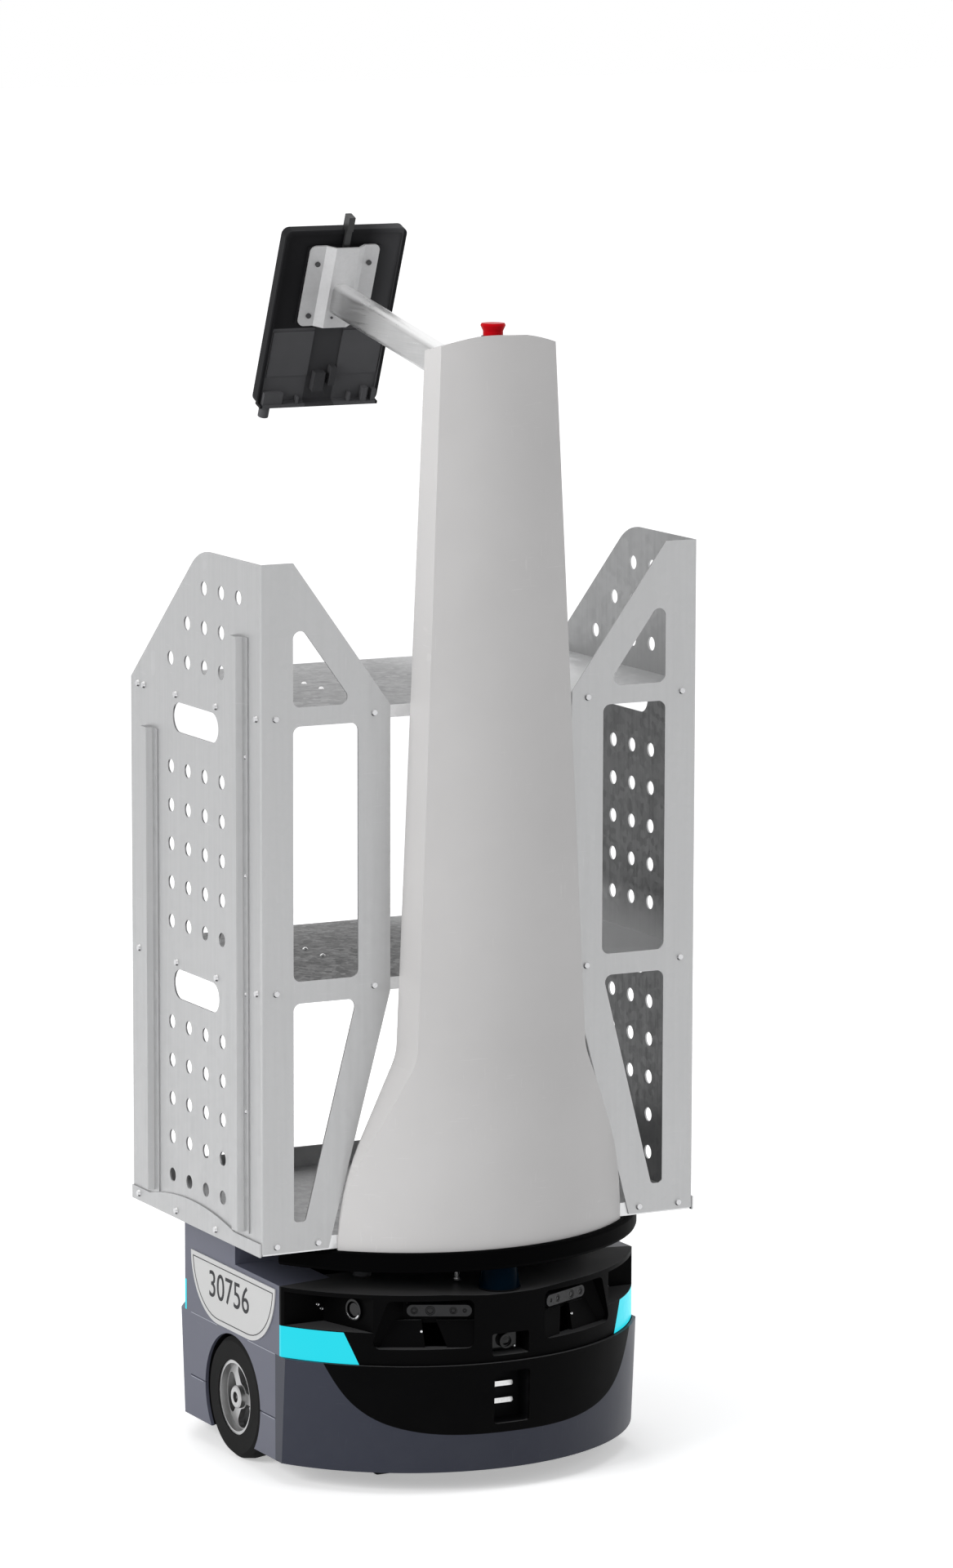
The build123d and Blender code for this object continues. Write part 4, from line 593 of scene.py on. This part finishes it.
def rounded(width, height, radius, steps=6):
    """Outline of a rounded rectangle, counter-clockwise."""
    points = []
    for cx, cy, start in ((1, 1, 0), (-1, 1, 90), (-1, -1, 180), (1, -1, 270)):
        for k in range(steps + 1):
            a = math.radians(start + 90.0 * k / steps)
            x = cx * (width / 2 - radius) + radius * math.cos(a)
            y = cy * (height / 2 - radius) + radius * math.sin(a)
            points.append((x, y))
    return points


def frame_of(outer, inner, depth, matrix, bm):
    """A flat ring between two outlines with the same number of points."""
    loops = []
    for outline, height in ((outer, 0.0), (outer, depth), (inner, depth), (inner, 0.0)):
        loops.append([bm.verts.new(matrix @ Vector((x, y, height))) for x, y in outline])
    count = len(outer)
    for a, b in ((0, 1), (1, 2), (2, 3), (3, 0)):
        for k in range(count):
            n = (k + 1) % count
            bm.faces.new((loops[a][k], loops[a][n], loops[b][n], loops[b][k]))


def screw_head(bm, matrix, radius, height):
    """A low domed screw head with a sunk middle."""
    profile = [(0.0, height * 0.45), (radius * 0.42, height * 0.45), (radius * 0.46, height * 0.95)]
    profile += [(radius * 0.72, height), (radius * 0.94, height * 0.62)]
    profile += [(radius, height * 0.22), (radius, 0.0)]
    lathe(bm, profile, matrix, 18)


def dress(node, finish, edge=None):
    """Give a CAD node its finish and softened edges."""
    part = frame["nodes"][node]
    part.data.materials.clear()
    part.data.materials.append(MATERIALS[finish])
    if edge:
        soft = part.modifiers.new("Soft edges", "BEVEL")
        soft.width = edge
        soft.segments = 2
        soft.limit_method = "ANGLE"
        soft.angle_limit = math.radians(40.0)
        soft.use_clamp_overlap = True
        soft.harden_normals = True
    return part


def body_for(node):
    """The name of the body that carries a CAD node."""
    for name, empty in frame["bodies"].items():
        if frame["nodes"][node].parent == empty:
            return name
    raise RuntimeError(f"no body carries {node}")


class RobotPiece:
    """What the robot's operators share."""

    bl_options = {"REGISTER", "UNDO"}

    def execute(self, context):
        self.build(context)
        return {"FINISHED"}


# Finishes
class ROBOT_OT_finishes(RobotPiece, bpy.types.Operator):
    """Make the shared shader groups and every finish of the robot"""

    bl_idname = "robot.finishes"
    bl_label = "Finishes"

    def build(self, context):
        c = colours()
        GROUPS.update(
            grain=grain_group(), dust=dust_group(), scuff=scuff_group(),
            spangle=spangle_group(), brushed=brushed_group(), bay=bay_group(),
        )
        zinc_tint, dark = tuple(c.zinc), tuple(c.shade)
        paint("Column paint", tuple(c.column), 0.42, coat=0.08, dust=0.04)
        paint("Panel paint", tuple(c.panel), 0.40, dust=0.12)
        # Painted highlight: pale strips standing in for light caught on the sheet edges
        paint("Painted seam highlight", (0.34, 0.35, 0.40), 0.40, dust=0.05)
        paint("Front skirt paint", tuple(c.skirt), 0.40, dust=0.12, sheen=0.15)
        # Painted light: the shell's up-facing faces, its roof, turn this lighter grey, standing in for light
        # from above
        roof = (0.055, 0.055, 0.056)
        moulding("Black shell", tuple(c.shell), 0.46, lift=0.012, sheen=0.02, top=roof)
        moulding("Column back", (0.045, 0.045, 0.048), 0.5)
        moulding("Inner black", (0.004, 0.004, 0.0045), 0.5, dust=0.2, lift=0.01, sheen=0.05)
        moulding("Holder moulding", tuple(c.holder), 0.52, dust=0.03, sheen=0.06, pads=tuple(c.pads))
        rubber("Ring rubber", (0.0010, 0.0010, 0.0011), 0.42, 0.02)
        rubber("Tyre rubber", (0.018, 0.018, 0.018), 0.62, 0.15)
        # Painted light: the shelves take the rack's zinc made 1.6 times lighter, standing in for the light on
        # them. The rack's walls and the shelf tops also get painted shade; the middle shelf's is far deeper
        # than the upper shelf's
        lit_shelf_tint = tuple(v * 1.6 for v in zinc_tint)
        zinc("Rack zinc", zinc_tint, "Wall", dark)
        zinc("Shelf zinc", lit_shelf_tint, "Shelf", (0.27, 0.27, 0.275), lines=0.02)
        zinc("Middle shelf zinc", lit_shelf_tint, "Shelf", (0.022, 0.022, 0.023), lines=0.02)
        metal("Wheel alloy", (0.50, 0.50, 0.50), 0.34, (500.0, 900.0, 900.0))
        metal("Motor alloy", (0.40, 0.41, 0.42), 0.42)
        metal("Zinc plate", (0.46, 0.47, 0.48), 0.36)
        # Painted highlight: the arm's up-facing faces turn nearly white
        metal("Arm alloy", (0.60, 0.60, 0.60), 0.33, (700.0, 14.0, 700.0), 0.08, top=(0.96, 0.96, 0.96))
        metal("Bracket alloy", (0.64, 0.64, 0.645), 0.50, (300.0, 300.0, 300.0), 0.04, metallic=0.4)
        metal("Latch steel", (0.045, 0.045, 0.046), 0.40, metallic=0.5)
        metal("Screw dark", (0.09, 0.09, 0.092), 0.35, metallic=0.8)
        # Painted highlight on the tops of bolts, rivets and small fittings, and painted shade under them
        metal("Bolt steel", (0.62, 0.62, 0.63), 0.22, top=(0.97, 0.97, 0.97), under=(0.05, 0.05, 0.052))
        metal("Camera case", (0.008, 0.008, 0.009), 0.42, metallic=0.4)
        metal("Contact steel", (0.72, 0.72, 0.72), 0.2)
        metal("Dark steel", (0.05, 0.052, 0.056), 0.5, metallic=0.6)
        gloss("Lens black", (0.002, 0.002, 0.0025), 0.10, sheen=0.2, coat=0.15)
        gloss("Window blue", (0.0001, 0.0042, 0.0095), 0.10, sheen=0.01, coat=0.0, dust=0.0)
        gloss("Stop red", tuple(c.stop), 0.30, coat=0.0, sheen=0.05, dust=0.0)
        gloss("Plate white", tuple(c.plate), 0.34, coat=0.06, sheen=0.2)
        gloss("Plate ink", (0.022, 0.022, 0.025), 0.40, coat=0.0, sheen=0.1)
        paint("Deck black", (0.004, 0.004, 0.0045), 0.45, dust=0.05, peel=700.0, sheen=0.06)
        lit_strip("Lit strip", tuple(c.light), 0.94)
        screen_glass("Screen glass")


# Base
class ROBOT_OT_base_shells(RobotPiece, bpy.types.Operator):
    """Finish the skirts, side panels and shells of the base"""

    bl_idname = "robot.base_shells"
    bl_label = "Base shells"

    def build(self, context):
        edge = sizes().edge
        dress("front_skirt", "Front skirt paint", edge)
        dress("skirt_insert", "Black shell", edge)
        dress("rear_skirt", "Panel paint", edge)
        dress("rear_shell", "Panel paint", edge)
        dress("sensor_shell", "Black shell", edge)
        for side in ("left", "right"):
            dress(f"side_panel_{side}", "Panel paint", edge)
        dress("chassis_plate", "Dark steel")
        dress("deck_plate", "Deck black", edge)
        dress("deck_posts", "Dark steel")
        dress("battery_pack", "Inner black")
        dress("control_box", "Inner black")
        dress("bumper_ring", "Ring rubber")
        dress("light_strips", "Lit strip", edge)
        self.painted_seam_highlights()

    def painted_seam_highlights(self):
        """Painted highlights: pale strips beside the number plates and below the side panels' grooves, for
        light on sheet edges.
        """
        plate_low, plate_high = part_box("number_plates")
        for side, sign in (("left", -1), ("right", 1)):
            low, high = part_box(f"side_panel_{side}")
            face = low.x if sign < 0 else high.x
            end = (high.y - low.y) / 2
            seam = high.z - 0.6 * MM
            reach = plate_high.z - plate_low.z
            across = (plate_high.y - plate_low.y) / 2 - reach
            drop = min(plate_high.z - seam, reach)
            plate_end = across + math.sqrt(reach * reach - drop * drop)
            bm = bmesh.new()
            for start, height in ((plate_end + 2.0 * MM, seam), (82.0 * MM, 74.5 * MM)):
                width = end - 1.0 * MM - start
                for way in (-1, 1):
                    spot = (face - sign * 0.1 * MM, way * (start + width / 2), height)
                    slab(bm, rounded(width, 0.8 * MM, 0.3 * MM, 2), 0.3 * MM, facing(spot, (sign, 0, 0)))
            piece(f"painted_seam_highlights_{side}", bm, "base", "Painted seam highlight")


class ROBOT_OT_wheels(RobotPiece, bpy.types.Operator):
    """Finish the drive wheels and casters and add the wheel nuts"""

    bl_idname = "robot.wheels"
    bl_label = "Wheels"

    nut_radius: bpy.props.FloatProperty(
        name="Nut", description="Radius of the wheel nut", default=0.0046, unit="LENGTH"
    )

    def build(self, context):
        for side, sign in (("left", -1), ("right", 1)):
            dress(f"drive_hub_{side}", "Wheel alloy", 0.0006)
            dress(f"drive_tyre_{side}", "Tyre rubber", 0.001)
            dress(f"gearmotor_{side}", "Motor alloy")
            self.wheel_nut(side, sign)
            self.arch_shade_band(side, sign)
            for end in ("front", "rear"):
                dress(f"caster_fork_{end}_{side}", "Zinc plate", 0.0005)
                dress(f"caster_wheel_{end}_{side}", "Tyre rubber")
        dress("caster_mounts", "Zinc plate", 0.0005)

    def arch_shade_band(self, side, sign):
        """Painted shade: a dark band that closes the wheel arch inside the side panel, standing in for the
        shadow under the robot.
        """
        low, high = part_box(f"drive_tyre_{side}")
        panel_low, panel_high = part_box(f"side_panel_{side}")
        inner_x = high.x if sign < 0 else low.x
        outer_x = panel_low.x if sign < 0 else panel_high.x
        height = (low.z + high.z) / 2
        radius = (high.z - low.z) / 2 + 2.2 * MM
        first = math.asin((panel_low.z + 1.0 * MM - height) / radius)
        outer, inner = [], []
        for k in range(49):
            a = first + (math.pi - 2 * first) * k / 48
            outer.append(((radius + 1.2 * MM) * math.cos(a), (radius + 1.2 * MM) * math.sin(a)))
            inner.append((radius * math.cos(a), radius * math.sin(a)))
        bm = bmesh.new()
        depth = abs(outer_x - inner_x) - 1.0 * MM
        slab(bm, outer + inner[::-1], depth, facing((inner_x, (low.y + high.y) / 2, height), (sign, 0, 0)))
        piece(f"arch_shade_band_{side}", bm, "base", "Inner black")

    def wheel_nut(self, side, sign):
        """Hexagonal nut and washer in the hub's socket."""
        low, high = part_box(f"drive_hub_{side}")
        outer = low.x if sign < 0 else high.x
        spot = (outer - sign * 8.0 * MM, (low.y + high.y) / 2, (low.z + high.z) / 2)
        matrix = facing(spot, (sign, 0, 0))
        bm = bmesh.new()
        r = self.nut_radius
        lathe(bm, [(0.0, 0.0008), (r * 1.3, 0.0008), (r * 1.3, 0.0)], matrix, 24)
        hexagon = [(r * math.cos(math.radians(60 * k)), r * math.sin(math.radians(60 * k))) for k in range(6)]
        slab(bm, hexagon, 0.0045, matrix, 0.0004)
        lathe(bm, [(0.0, 0.0062), (r * 0.45, 0.0062), (r * 0.45, 0.0)], matrix, 16)
        piece(f"wheel_nut_{side}", bm, body_for(f"drive_hub_{side}"), "Screw dark")


class ROBOT_OT_number_plates(RobotPiece, bpy.types.Operator):
    """White plates on the flats, with a thin border and plain digits"""

    bl_idname = "robot.number_plates"
    bl_label = "Number plates"

    digits: bpy.props.StringProperty(name="Digits", description="Fleet number", default="30756")

    def build(self, context):
        dress("number_plates", "Plate white", 0.0003)
        low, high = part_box("number_plates")
        width, height = high.y - low.y, high.z - low.z
        middle = ((low.y + high.y) / 2, (low.z + high.z) / 2)
        for side, sign, face in (("left", -1, low.x), ("right", 1, high.x)):
            matrix = facing((face, *middle), (sign, 0, 0))
            self.border(side, matrix, width, height)
            self.number(side, matrix)

    def outline(self, width, height, inset):
        """The plate's outline moved inwards: straight top and a quarter circle at each end."""
        radius, steps = height - inset, 12
        first = math.asin(inset / radius)
        across = width / 2 - height
        points = []
        for end in (-1, 1):
            for k in range(steps + 1):
                share = k / steps if end < 0 else 1 - k / steps
                a = first + (math.pi / 2 - first) * share
                points.append((end * (across + radius * math.cos(a)), height / 2 - radius * math.sin(a)))
        return points

    def border(self, side, matrix, width, height):
        inset, line = sizes().border_inset, sizes().border
        bm = bmesh.new()
        outer = self.outline(width, height, inset)
        inner = self.outline(width, height, inset + line)
        frame_of(outer, inner, 0.0003, matrix, bm)
        piece(f"plate_border_{side}", bm, "base", "Plate ink")

    def number(self, side, matrix):
        text = bpy.data.curves.new(f"plate_digits_{side}", "FONT")
        text.body = self.digits
        text.size = sizes().digit_height * 1.38
        text.extrude = 0.0003
        text.align_x = "CENTER"
        text.align_y = "CENTER"
        text.space_character = 1.0
        text.materials.append(MATERIALS["Plate ink"])
        made = bpy.data.objects.new(f"plate_digits_{side}", text)
        bpy.context.scene.collection.objects.link(made)
        made.matrix_world = matrix @ Matrix.Translation((-10 * MM, 6 * MM, 0.0))
        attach(made, "base")


class ROBOT_OT_sensors(RobotPiece, bpy.types.Operator):
    """Lenses, screws and the scanner of the sensor shell"""

    bl_idname = "robot.sensors"
    bl_label = "Sensors"

    reach: bpy.props.FloatProperty(
        name="Camera face", description="Distance of a camera's face from the centre",
        default=0.256, unit="LENGTH"
    )
    camera_height: bpy.props.FloatProperty(
        name="Camera height", description="Height of the camera bars", default=0.216, unit="LENGTH"
    )
    camera_aside: bpy.props.FloatProperty(
        name="Camera aside", description="From the camera's own middle line to its bar",
        default=-0.0355, unit="LENGTH"
    )

    def build(self, context):
        dress("depth_cameras", "Camera case", 0.0006)
        dress("nose_camera", "Lens black", 0.0004)
        dress("side_sensors", "Lens black", 0.0004)
        dress("lidar_body", "Inner black", 0.0004)
        dress("lidar_window", "Window blue")
        for side, sign in (("left", -1), ("right", 1)):
            self.camera_lenses(side, sign)
            self.side_lens(side, sign)
        self.nose_lens()
        self.standoffs()

    def standoffs(self):
        """Two plated spacers between the sensor shell's roof and the deck."""
        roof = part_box("sensor_shell")[1].z
        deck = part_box("deck_plate")[0].z
        bm = bmesh.new()
        for x in (-32, 32):
            bottom = roof - 0.0002
            top = deck - bottom - 0.0002
            flange = [(0.0, 0.0), (0.0046, 0.0), (0.0046, 0.002)]
            shank = [(0.0034, 0.002), (0.0034, top), (0.0, top)]
            matrix = facing((x * MM, -190 * MM, bottom), (0, 0, 1), (0, 1, 0))
            lathe(bm, flange + shank, matrix, 20)
        piece("roof_standoffs", bm, "base", "Bolt steel")

    def spot(self, sign, across, out, up):
        """A place on a depth camera, from its own axes."""
        turn = math.radians(sign * sizes().camera_turn)
        x, y = across, -out
        return (x * math.cos(turn) - y * math.sin(turn), x * math.sin(turn) + y * math.cos(turn), up)

    def camera_lenses(self, side, sign):
        turn = math.radians(sign * sizes().camera_turn)
        outward = (math.sin(turn), -math.cos(turn), 0.0)
        bm = bmesh.new()
        for across, radius in ((-29.4, 2.4), (-16.1, 4.1), (10.5, 5.4), (28.9, 4.1)):
            shift = sign * (self.camera_aside + across * MM)
            place = self.spot(sign, shift, self.reach - 1.5 * MM, self.camera_height)
            r = radius * MM
            dome = [(0.0, 0.0011), (r * 0.35, 0.001), (r * 0.6, 0.0006), (r * 0.66, 0.0004)]
            rim = [(r * 0.72, 0.0011), (r * 0.92, 0.0012), (r, 0.0008), (r, 0.0)]
            lathe(bm, dome + rim, facing(place, outward), 24)
        piece(f"camera_lenses_{side}", bm, "base", "Lens black")
        bm = bmesh.new()
        place = self.spot(sign, sign * -15 * MM, self.reach - 6.5 * MM, 190 * MM)
        lathe(bm, [(0.0, 0.0016), (0.0014, 0.0013), (0.0019, 0.0), (0.0, -0.004)], facing(place, outward), 12)
        piece(f"camera_pilot_{side}", bm, "base", "Bolt steel")

    def side_lens(self, side, sign):
        """Bright screws on the pocket's wall, and the sensor's polished lower lip, made only where its lens
        shows a glint: partly a painted highlight.
        """
        bm = bmesh.new()
        for x, z in ((186, 211.5), (181, 206)):
            screw_head(bm, facing((sign * x * MM, -136.6 * MM, z * MM), (0, -1, 0)), 0.0024, 0.0016)
        piece(f"pocket_screws_{side}", bm, "base", "Bolt steel")
        outward = Vector((sign * 80.5, -24.5, 0.0)).normalized()
        middle = Vector((sign * 162.2, -188.4, 214.0)) * MM + outward * 3.6 * MM
        matrix = facing(middle, outward)
        # Painted highlight: only the lower arc of the lip is made, where the lens catches light
        outer, inner = [], []
        for k in range(11):
            a = math.radians(205.0 + 13.0 * k)
            outer.append((11.6 * MM * math.cos(a), 11.6 * MM * math.sin(a)))
            inner.append((9.9 * MM * math.cos(a), 9.9 * MM * math.sin(a)))
        bm = bmesh.new()
        slab(bm, outer + inner[::-1], 0.0012, matrix, 0.0003)
        piece(f"side_sensor_glint_lip_{side}", bm, "base", "Bolt steel")

    def nose_lens(self):
        low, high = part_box("nose_camera")
        matrix = facing(((low.x + high.x) / 2, low.y, (low.z + high.z) / 2), (0, -1, 0))
        bm = bmesh.new()
        lathe(bm, [(0.0, -0.0006), (0.003, -0.001), (0.0052, -0.002), (0.0064, -0.0022)], matrix, 24)
        piece("nose_lens", bm, "base", "Lens black")
        bm = bmesh.new()
        place = (high.x - 3 * MM, high.y - 8 * MM, low.z + 3 * MM)
        screw_head(bm, facing(place, (0, -1, 0)), 0.0016, 0.0012)
        piece("nose_screw", bm, "base", "Bolt steel")


class ROBOT_OT_charge_port(RobotPiece, bpy.types.Operator):
    """Charge port with its contact bars"""

    bl_idname = "robot.charge_port"
    bl_label = "Charge port"

    def build(self, context):
        dress("charge_port_housing", "Inner black", 0.0005)
        dress("charge_contacts", "Contact steel", 0.0006)


# Column
class ROBOT_OT_column(RobotPiece, bpy.types.Operator):
    """Finish the column, its back cover and its spine"""

    bl_idname = "robot.column"
    bl_label = "Column"

    def build(self, context):
        dress("column_front_cover", "Column paint", 0.0012)
        dress("column_back_cover", "Column back")
        dress("column_spine", "Dark steel")


class ROBOT_OT_stop_button(RobotPiece, bpy.types.Operator):
    """Finish the stop button's head, stem and collar"""

    bl_idname = "robot.stop_button"
    bl_label = "Stop button"

    def build(self, context):
        dress("estop_collar", "Inner black")
        dress("estop_stem", "Inner black")
        dress("estop_head", "Stop red", 0.0008)


class ROBOT_OT_tablet(RobotPiece, bpy.types.Operator):
    """Arm, bracket, screws and tablet holder"""

    bl_idname = "robot.tablet"
    bl_label = "Arm and tablet"

    def build(self, context):
        dress("display_arm", "Arm alloy", 0.0004)
        dress("tablet_bracket", "Bracket alloy", 0.0006)
        dress("bracket_screws", "Screw dark", 0.0006)
        dress("tablet_holder", "Holder moulding", 0.0006)
        dress("tablet_body", "Inner black")
        dress("tablet_glass", "Screen glass", 0.0004)
        dress("latch_strip", "Latch steel", 0.0006)


# Rack
class ROBOT_OT_rack(RobotPiece, bpy.types.Operator):
    """Finish the rack's bent sheets, rails and shelves"""

    bl_idname = "robot.rack"
    bl_label = "Rack sheets"

    rivet_y: bpy.props.FloatProperty(
        name="Rivets", description="Place of the rivets along the robot", default=-0.1495, unit="LENGTH"
    )

    def build(self, context):
        for side in ("left", "right"):
            dress(f"rack_side_{side}", "Rack zinc", 0.0003)
        dress("rack_rails", "Rack zinc", 0.0006)
        dress("kick_strips", "Rack zinc", 0.0004)
        dress("shelf_upper", "Shelf zinc", 0.0005)
        dress("shelf_middle", "Middle shelf zinc", 0.0005)
        dress("base_tray", "Shelf zinc", 0.0005)
        dress("rack_bolts", "Bolt steel")
        self.dimples()
        self.rivets()

    def dimples(self):
        """Small polished bosses that locate a tote on each shelf."""
        for node, across, depths in (("shelf_upper", 131, (11, -35)), ("shelf_middle", 127, (17, -30))):
            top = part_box(node)[1].z
            bm = bmesh.new()
            for x in (-across, across):
                for y in depths:
                    matrix = facing((x * MM, y * MM, top), (0, 0, 1), (0, 1, 0))
                    lathe(bm, [(0.0, 0.0024), (0.0018, 0.0019), (0.0034, 0.0)], matrix, 14)
            piece(f"dimples_{node}", bm, body_for(node), "Bolt steel")

    def rivets(self):
        """Small rivets down the flange of each front rail."""
        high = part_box("rack_rails")[1]
        bm = bmesh.new()
        for sign in (-1, 1):
            for z in (861.5, 724.5, 587.5, 450.5):
                matrix = facing((sign * (high.x - 7.5 * MM), self.rivet_y, z * MM), (sign, 0, 0))
                lathe(bm, [(0.0, 0.0016), (0.0015, 0.0013), (0.0024, 0.0)], matrix, 12)
        piece("rail_rivets", bm, body_for("rack_rails"), "Bolt steel")


# Stage
class ROBOT_OT_stage(RobotPiece, bpy.types.Operator):
    """Floor, soft lights, white background and the camera"""

    bl_idname = "robot.stage"
    bl_label = "Stage"

    def build(self, context):
        self.floor()
        self.lights()
        self.world()
        self.camera()

    def floor(self):
        bm = bmesh.new()
        bmesh.ops.create_grid(bm, x_segments=2, y_segments=2, size=30.0)
        mesh = bpy.data.meshes.new("studio_floor")
        bm.to_mesh(mesh)
        bm.free()
        floor = bpy.data.objects.new("studio_floor", mesh)
        bpy.context.scene.collection.objects.link(floor)
        tree, shader = material("Floor")
        feed(tree, shader, "Base Color", tuple(colours().floor))
        feed(tree, shader, "Roughness", 0.8)
        feed(tree, shader, "Specular IOR Level", 0.1)
        place = put(tree, "ShaderNodeTexCoord").outputs["Object"]
        away = put(tree, "ShaderNodeVectorMath", _operation="LENGTH", i0=place).outputs["Value"]
        seen = direct_rays(tree)
        near = spread(tree, away, 0.35, 1.0, 0.08, 0.40)
        rise = maths(tree, "MAXIMUM", near, spread(tree, away, 1.0, 8.0, 0.40, 0.82))
        glow = maths(tree, "MULTIPLY", rise, seen)
        feed(tree, shader, "Emission Color", (1.0, 1.0, 1.0))
        feed(tree, shader, "Emission Strength", glow)
        mesh.materials.append(MATERIALS["Floor"])

    def lights(self):
        aims = (
            ("key", (-4.6, -1.1, 2.6), 2.2, 165.0),
            ("front", (0.8, -4.8, 2.4), 2.8, 16.0),
            ("fill", (3.8, -2.2, 2.2), 2.8, 26.0),
            ("back", (0.5, 3.6, 3.2), 2.4, 50.0),
            ("top", (0.0, -0.4, 4.4), 2.6, 45.0),
        )
        for name, place, size, power in aims:
            lamp = bpy.data.lights.new(name, "AREA")
            lamp.size = size
            lamp.energy = power
            made = bpy.data.objects.new(name, lamp)
            made.visible_glossy = False
            made.location = place
            towards = LAMP_AIM - Vector(place)
            made.rotation_euler = towards.to_track_quat("-Z", "Y").to_euler()
            bpy.context.scene.collection.objects.link(made)

    def world(self):
        world = bpy.data.worlds.new("Studio")
        world.use_nodes = True
        tree = world.node_tree
        tree.nodes.clear()
        seen = direct_rays(tree)
        soft = put(tree, "ShaderNodeBackground", Color=(0.97, 0.98, 1.0), Strength=0.36)
        white = put(tree, "ShaderNodeBackground", Color=(1.0, 1.0, 1.0), Strength=1.0)
        chosen = put(tree, "ShaderNodeMixShader", i0=seen, i1=soft.outputs[0], i2=white.outputs[0])
        put(tree, "ShaderNodeOutputWorld", Surface=chosen.outputs[0])
        bpy.context.scene.world = world

    def camera(self):
        yaw, pitch, roll = (math.radians(turn) for turn in (VIEW_YAW, VIEW_PITCH, VIEW_ROLL))
        ahead = Vector((math.sin(yaw) * math.cos(pitch), math.cos(yaw) * math.cos(pitch), -math.sin(pitch)))
        right = Vector((math.cos(yaw), -math.sin(yaw), 0.0))
        up = right.cross(ahead)
        side = right * math.cos(roll) + up * math.sin(roll)
        up = up * math.cos(roll) - right * math.sin(roll)
        lens = bpy.data.cameras.new("photo_view")
        lens.sensor_fit = "VERTICAL"
        lens.sensor_height = FILM_HEIGHT
        lens.sensor_width = FILM_HEIGHT * PHOTO_WIDTH / PHOTO_HEIGHT
        lens.lens = FILM_HEIGHT * PHOTO_FOCAL / PHOTO_HEIGHT
        made = bpy.data.objects.new("photo_view", lens)
        matrix = Matrix((side, up, -ahead)).transposed().to_4x4()
        matrix.translation = VIEW_PLACE
        made.matrix_world = matrix
        bpy.context.scene.collection.objects.link(made)
        bpy.context.scene.camera = made
        bpy.context.scene.view_settings.view_transform = "Standard"


OPERATORS = (
    ROBOT_OT_finishes,
    ROBOT_OT_base_shells,
    ROBOT_OT_wheels,
    ROBOT_OT_number_plates,
    ROBOT_OT_sensors,
    ROBOT_OT_charge_port,
    ROBOT_OT_column,
    ROBOT_OT_stop_button,
    ROBOT_OT_tablet,
    ROBOT_OT_rack,
    ROBOT_OT_stage,
)


class ROBOT_PT_sidebar(bpy.types.Panel):
    """Sidebar panel that lists the robot's operators"""

    bl_idname = "ROBOT_PT_sidebar"
    bl_label = "Tote Robot"
    bl_space_type = "VIEW_3D"
    bl_region_type = "UI"
    bl_category = "Robot"

    def draw(self, context):
        for group in (context.scene.robot_colours, context.scene.robot_sizes):
            column = self.layout.column()
            for key in group.__annotations__:
                column.prop(group, key)
        for operator in OPERATORS:
            self.layout.operator(operator.bl_idname)


CLASSES = (ROBOT_PG_colours, ROBOT_PG_sizes, *OPERATORS, ROBOT_PT_sidebar)


def register():
    for cls in CLASSES:
        bpy.utils.register_class(cls)
    bpy.types.Scene.robot_colours = bpy.props.PointerProperty(type=ROBOT_PG_colours)
    bpy.types.Scene.robot_sizes = bpy.props.PointerProperty(type=ROBOT_PG_sizes)


def unregister():
    del bpy.types.Scene.robot_sizes
    del bpy.types.Scene.robot_colours
    for cls in reversed(CLASSES):
        bpy.utils.unregister_class(cls)


def main():
    """Register, and build every piece in order."""
    register()
    for operator in OPERATORS:
        group, name = operator.bl_idname.split(".")
        getattr(getattr(bpy.ops, group), name)()


if __name__ == "__main__":
    main()
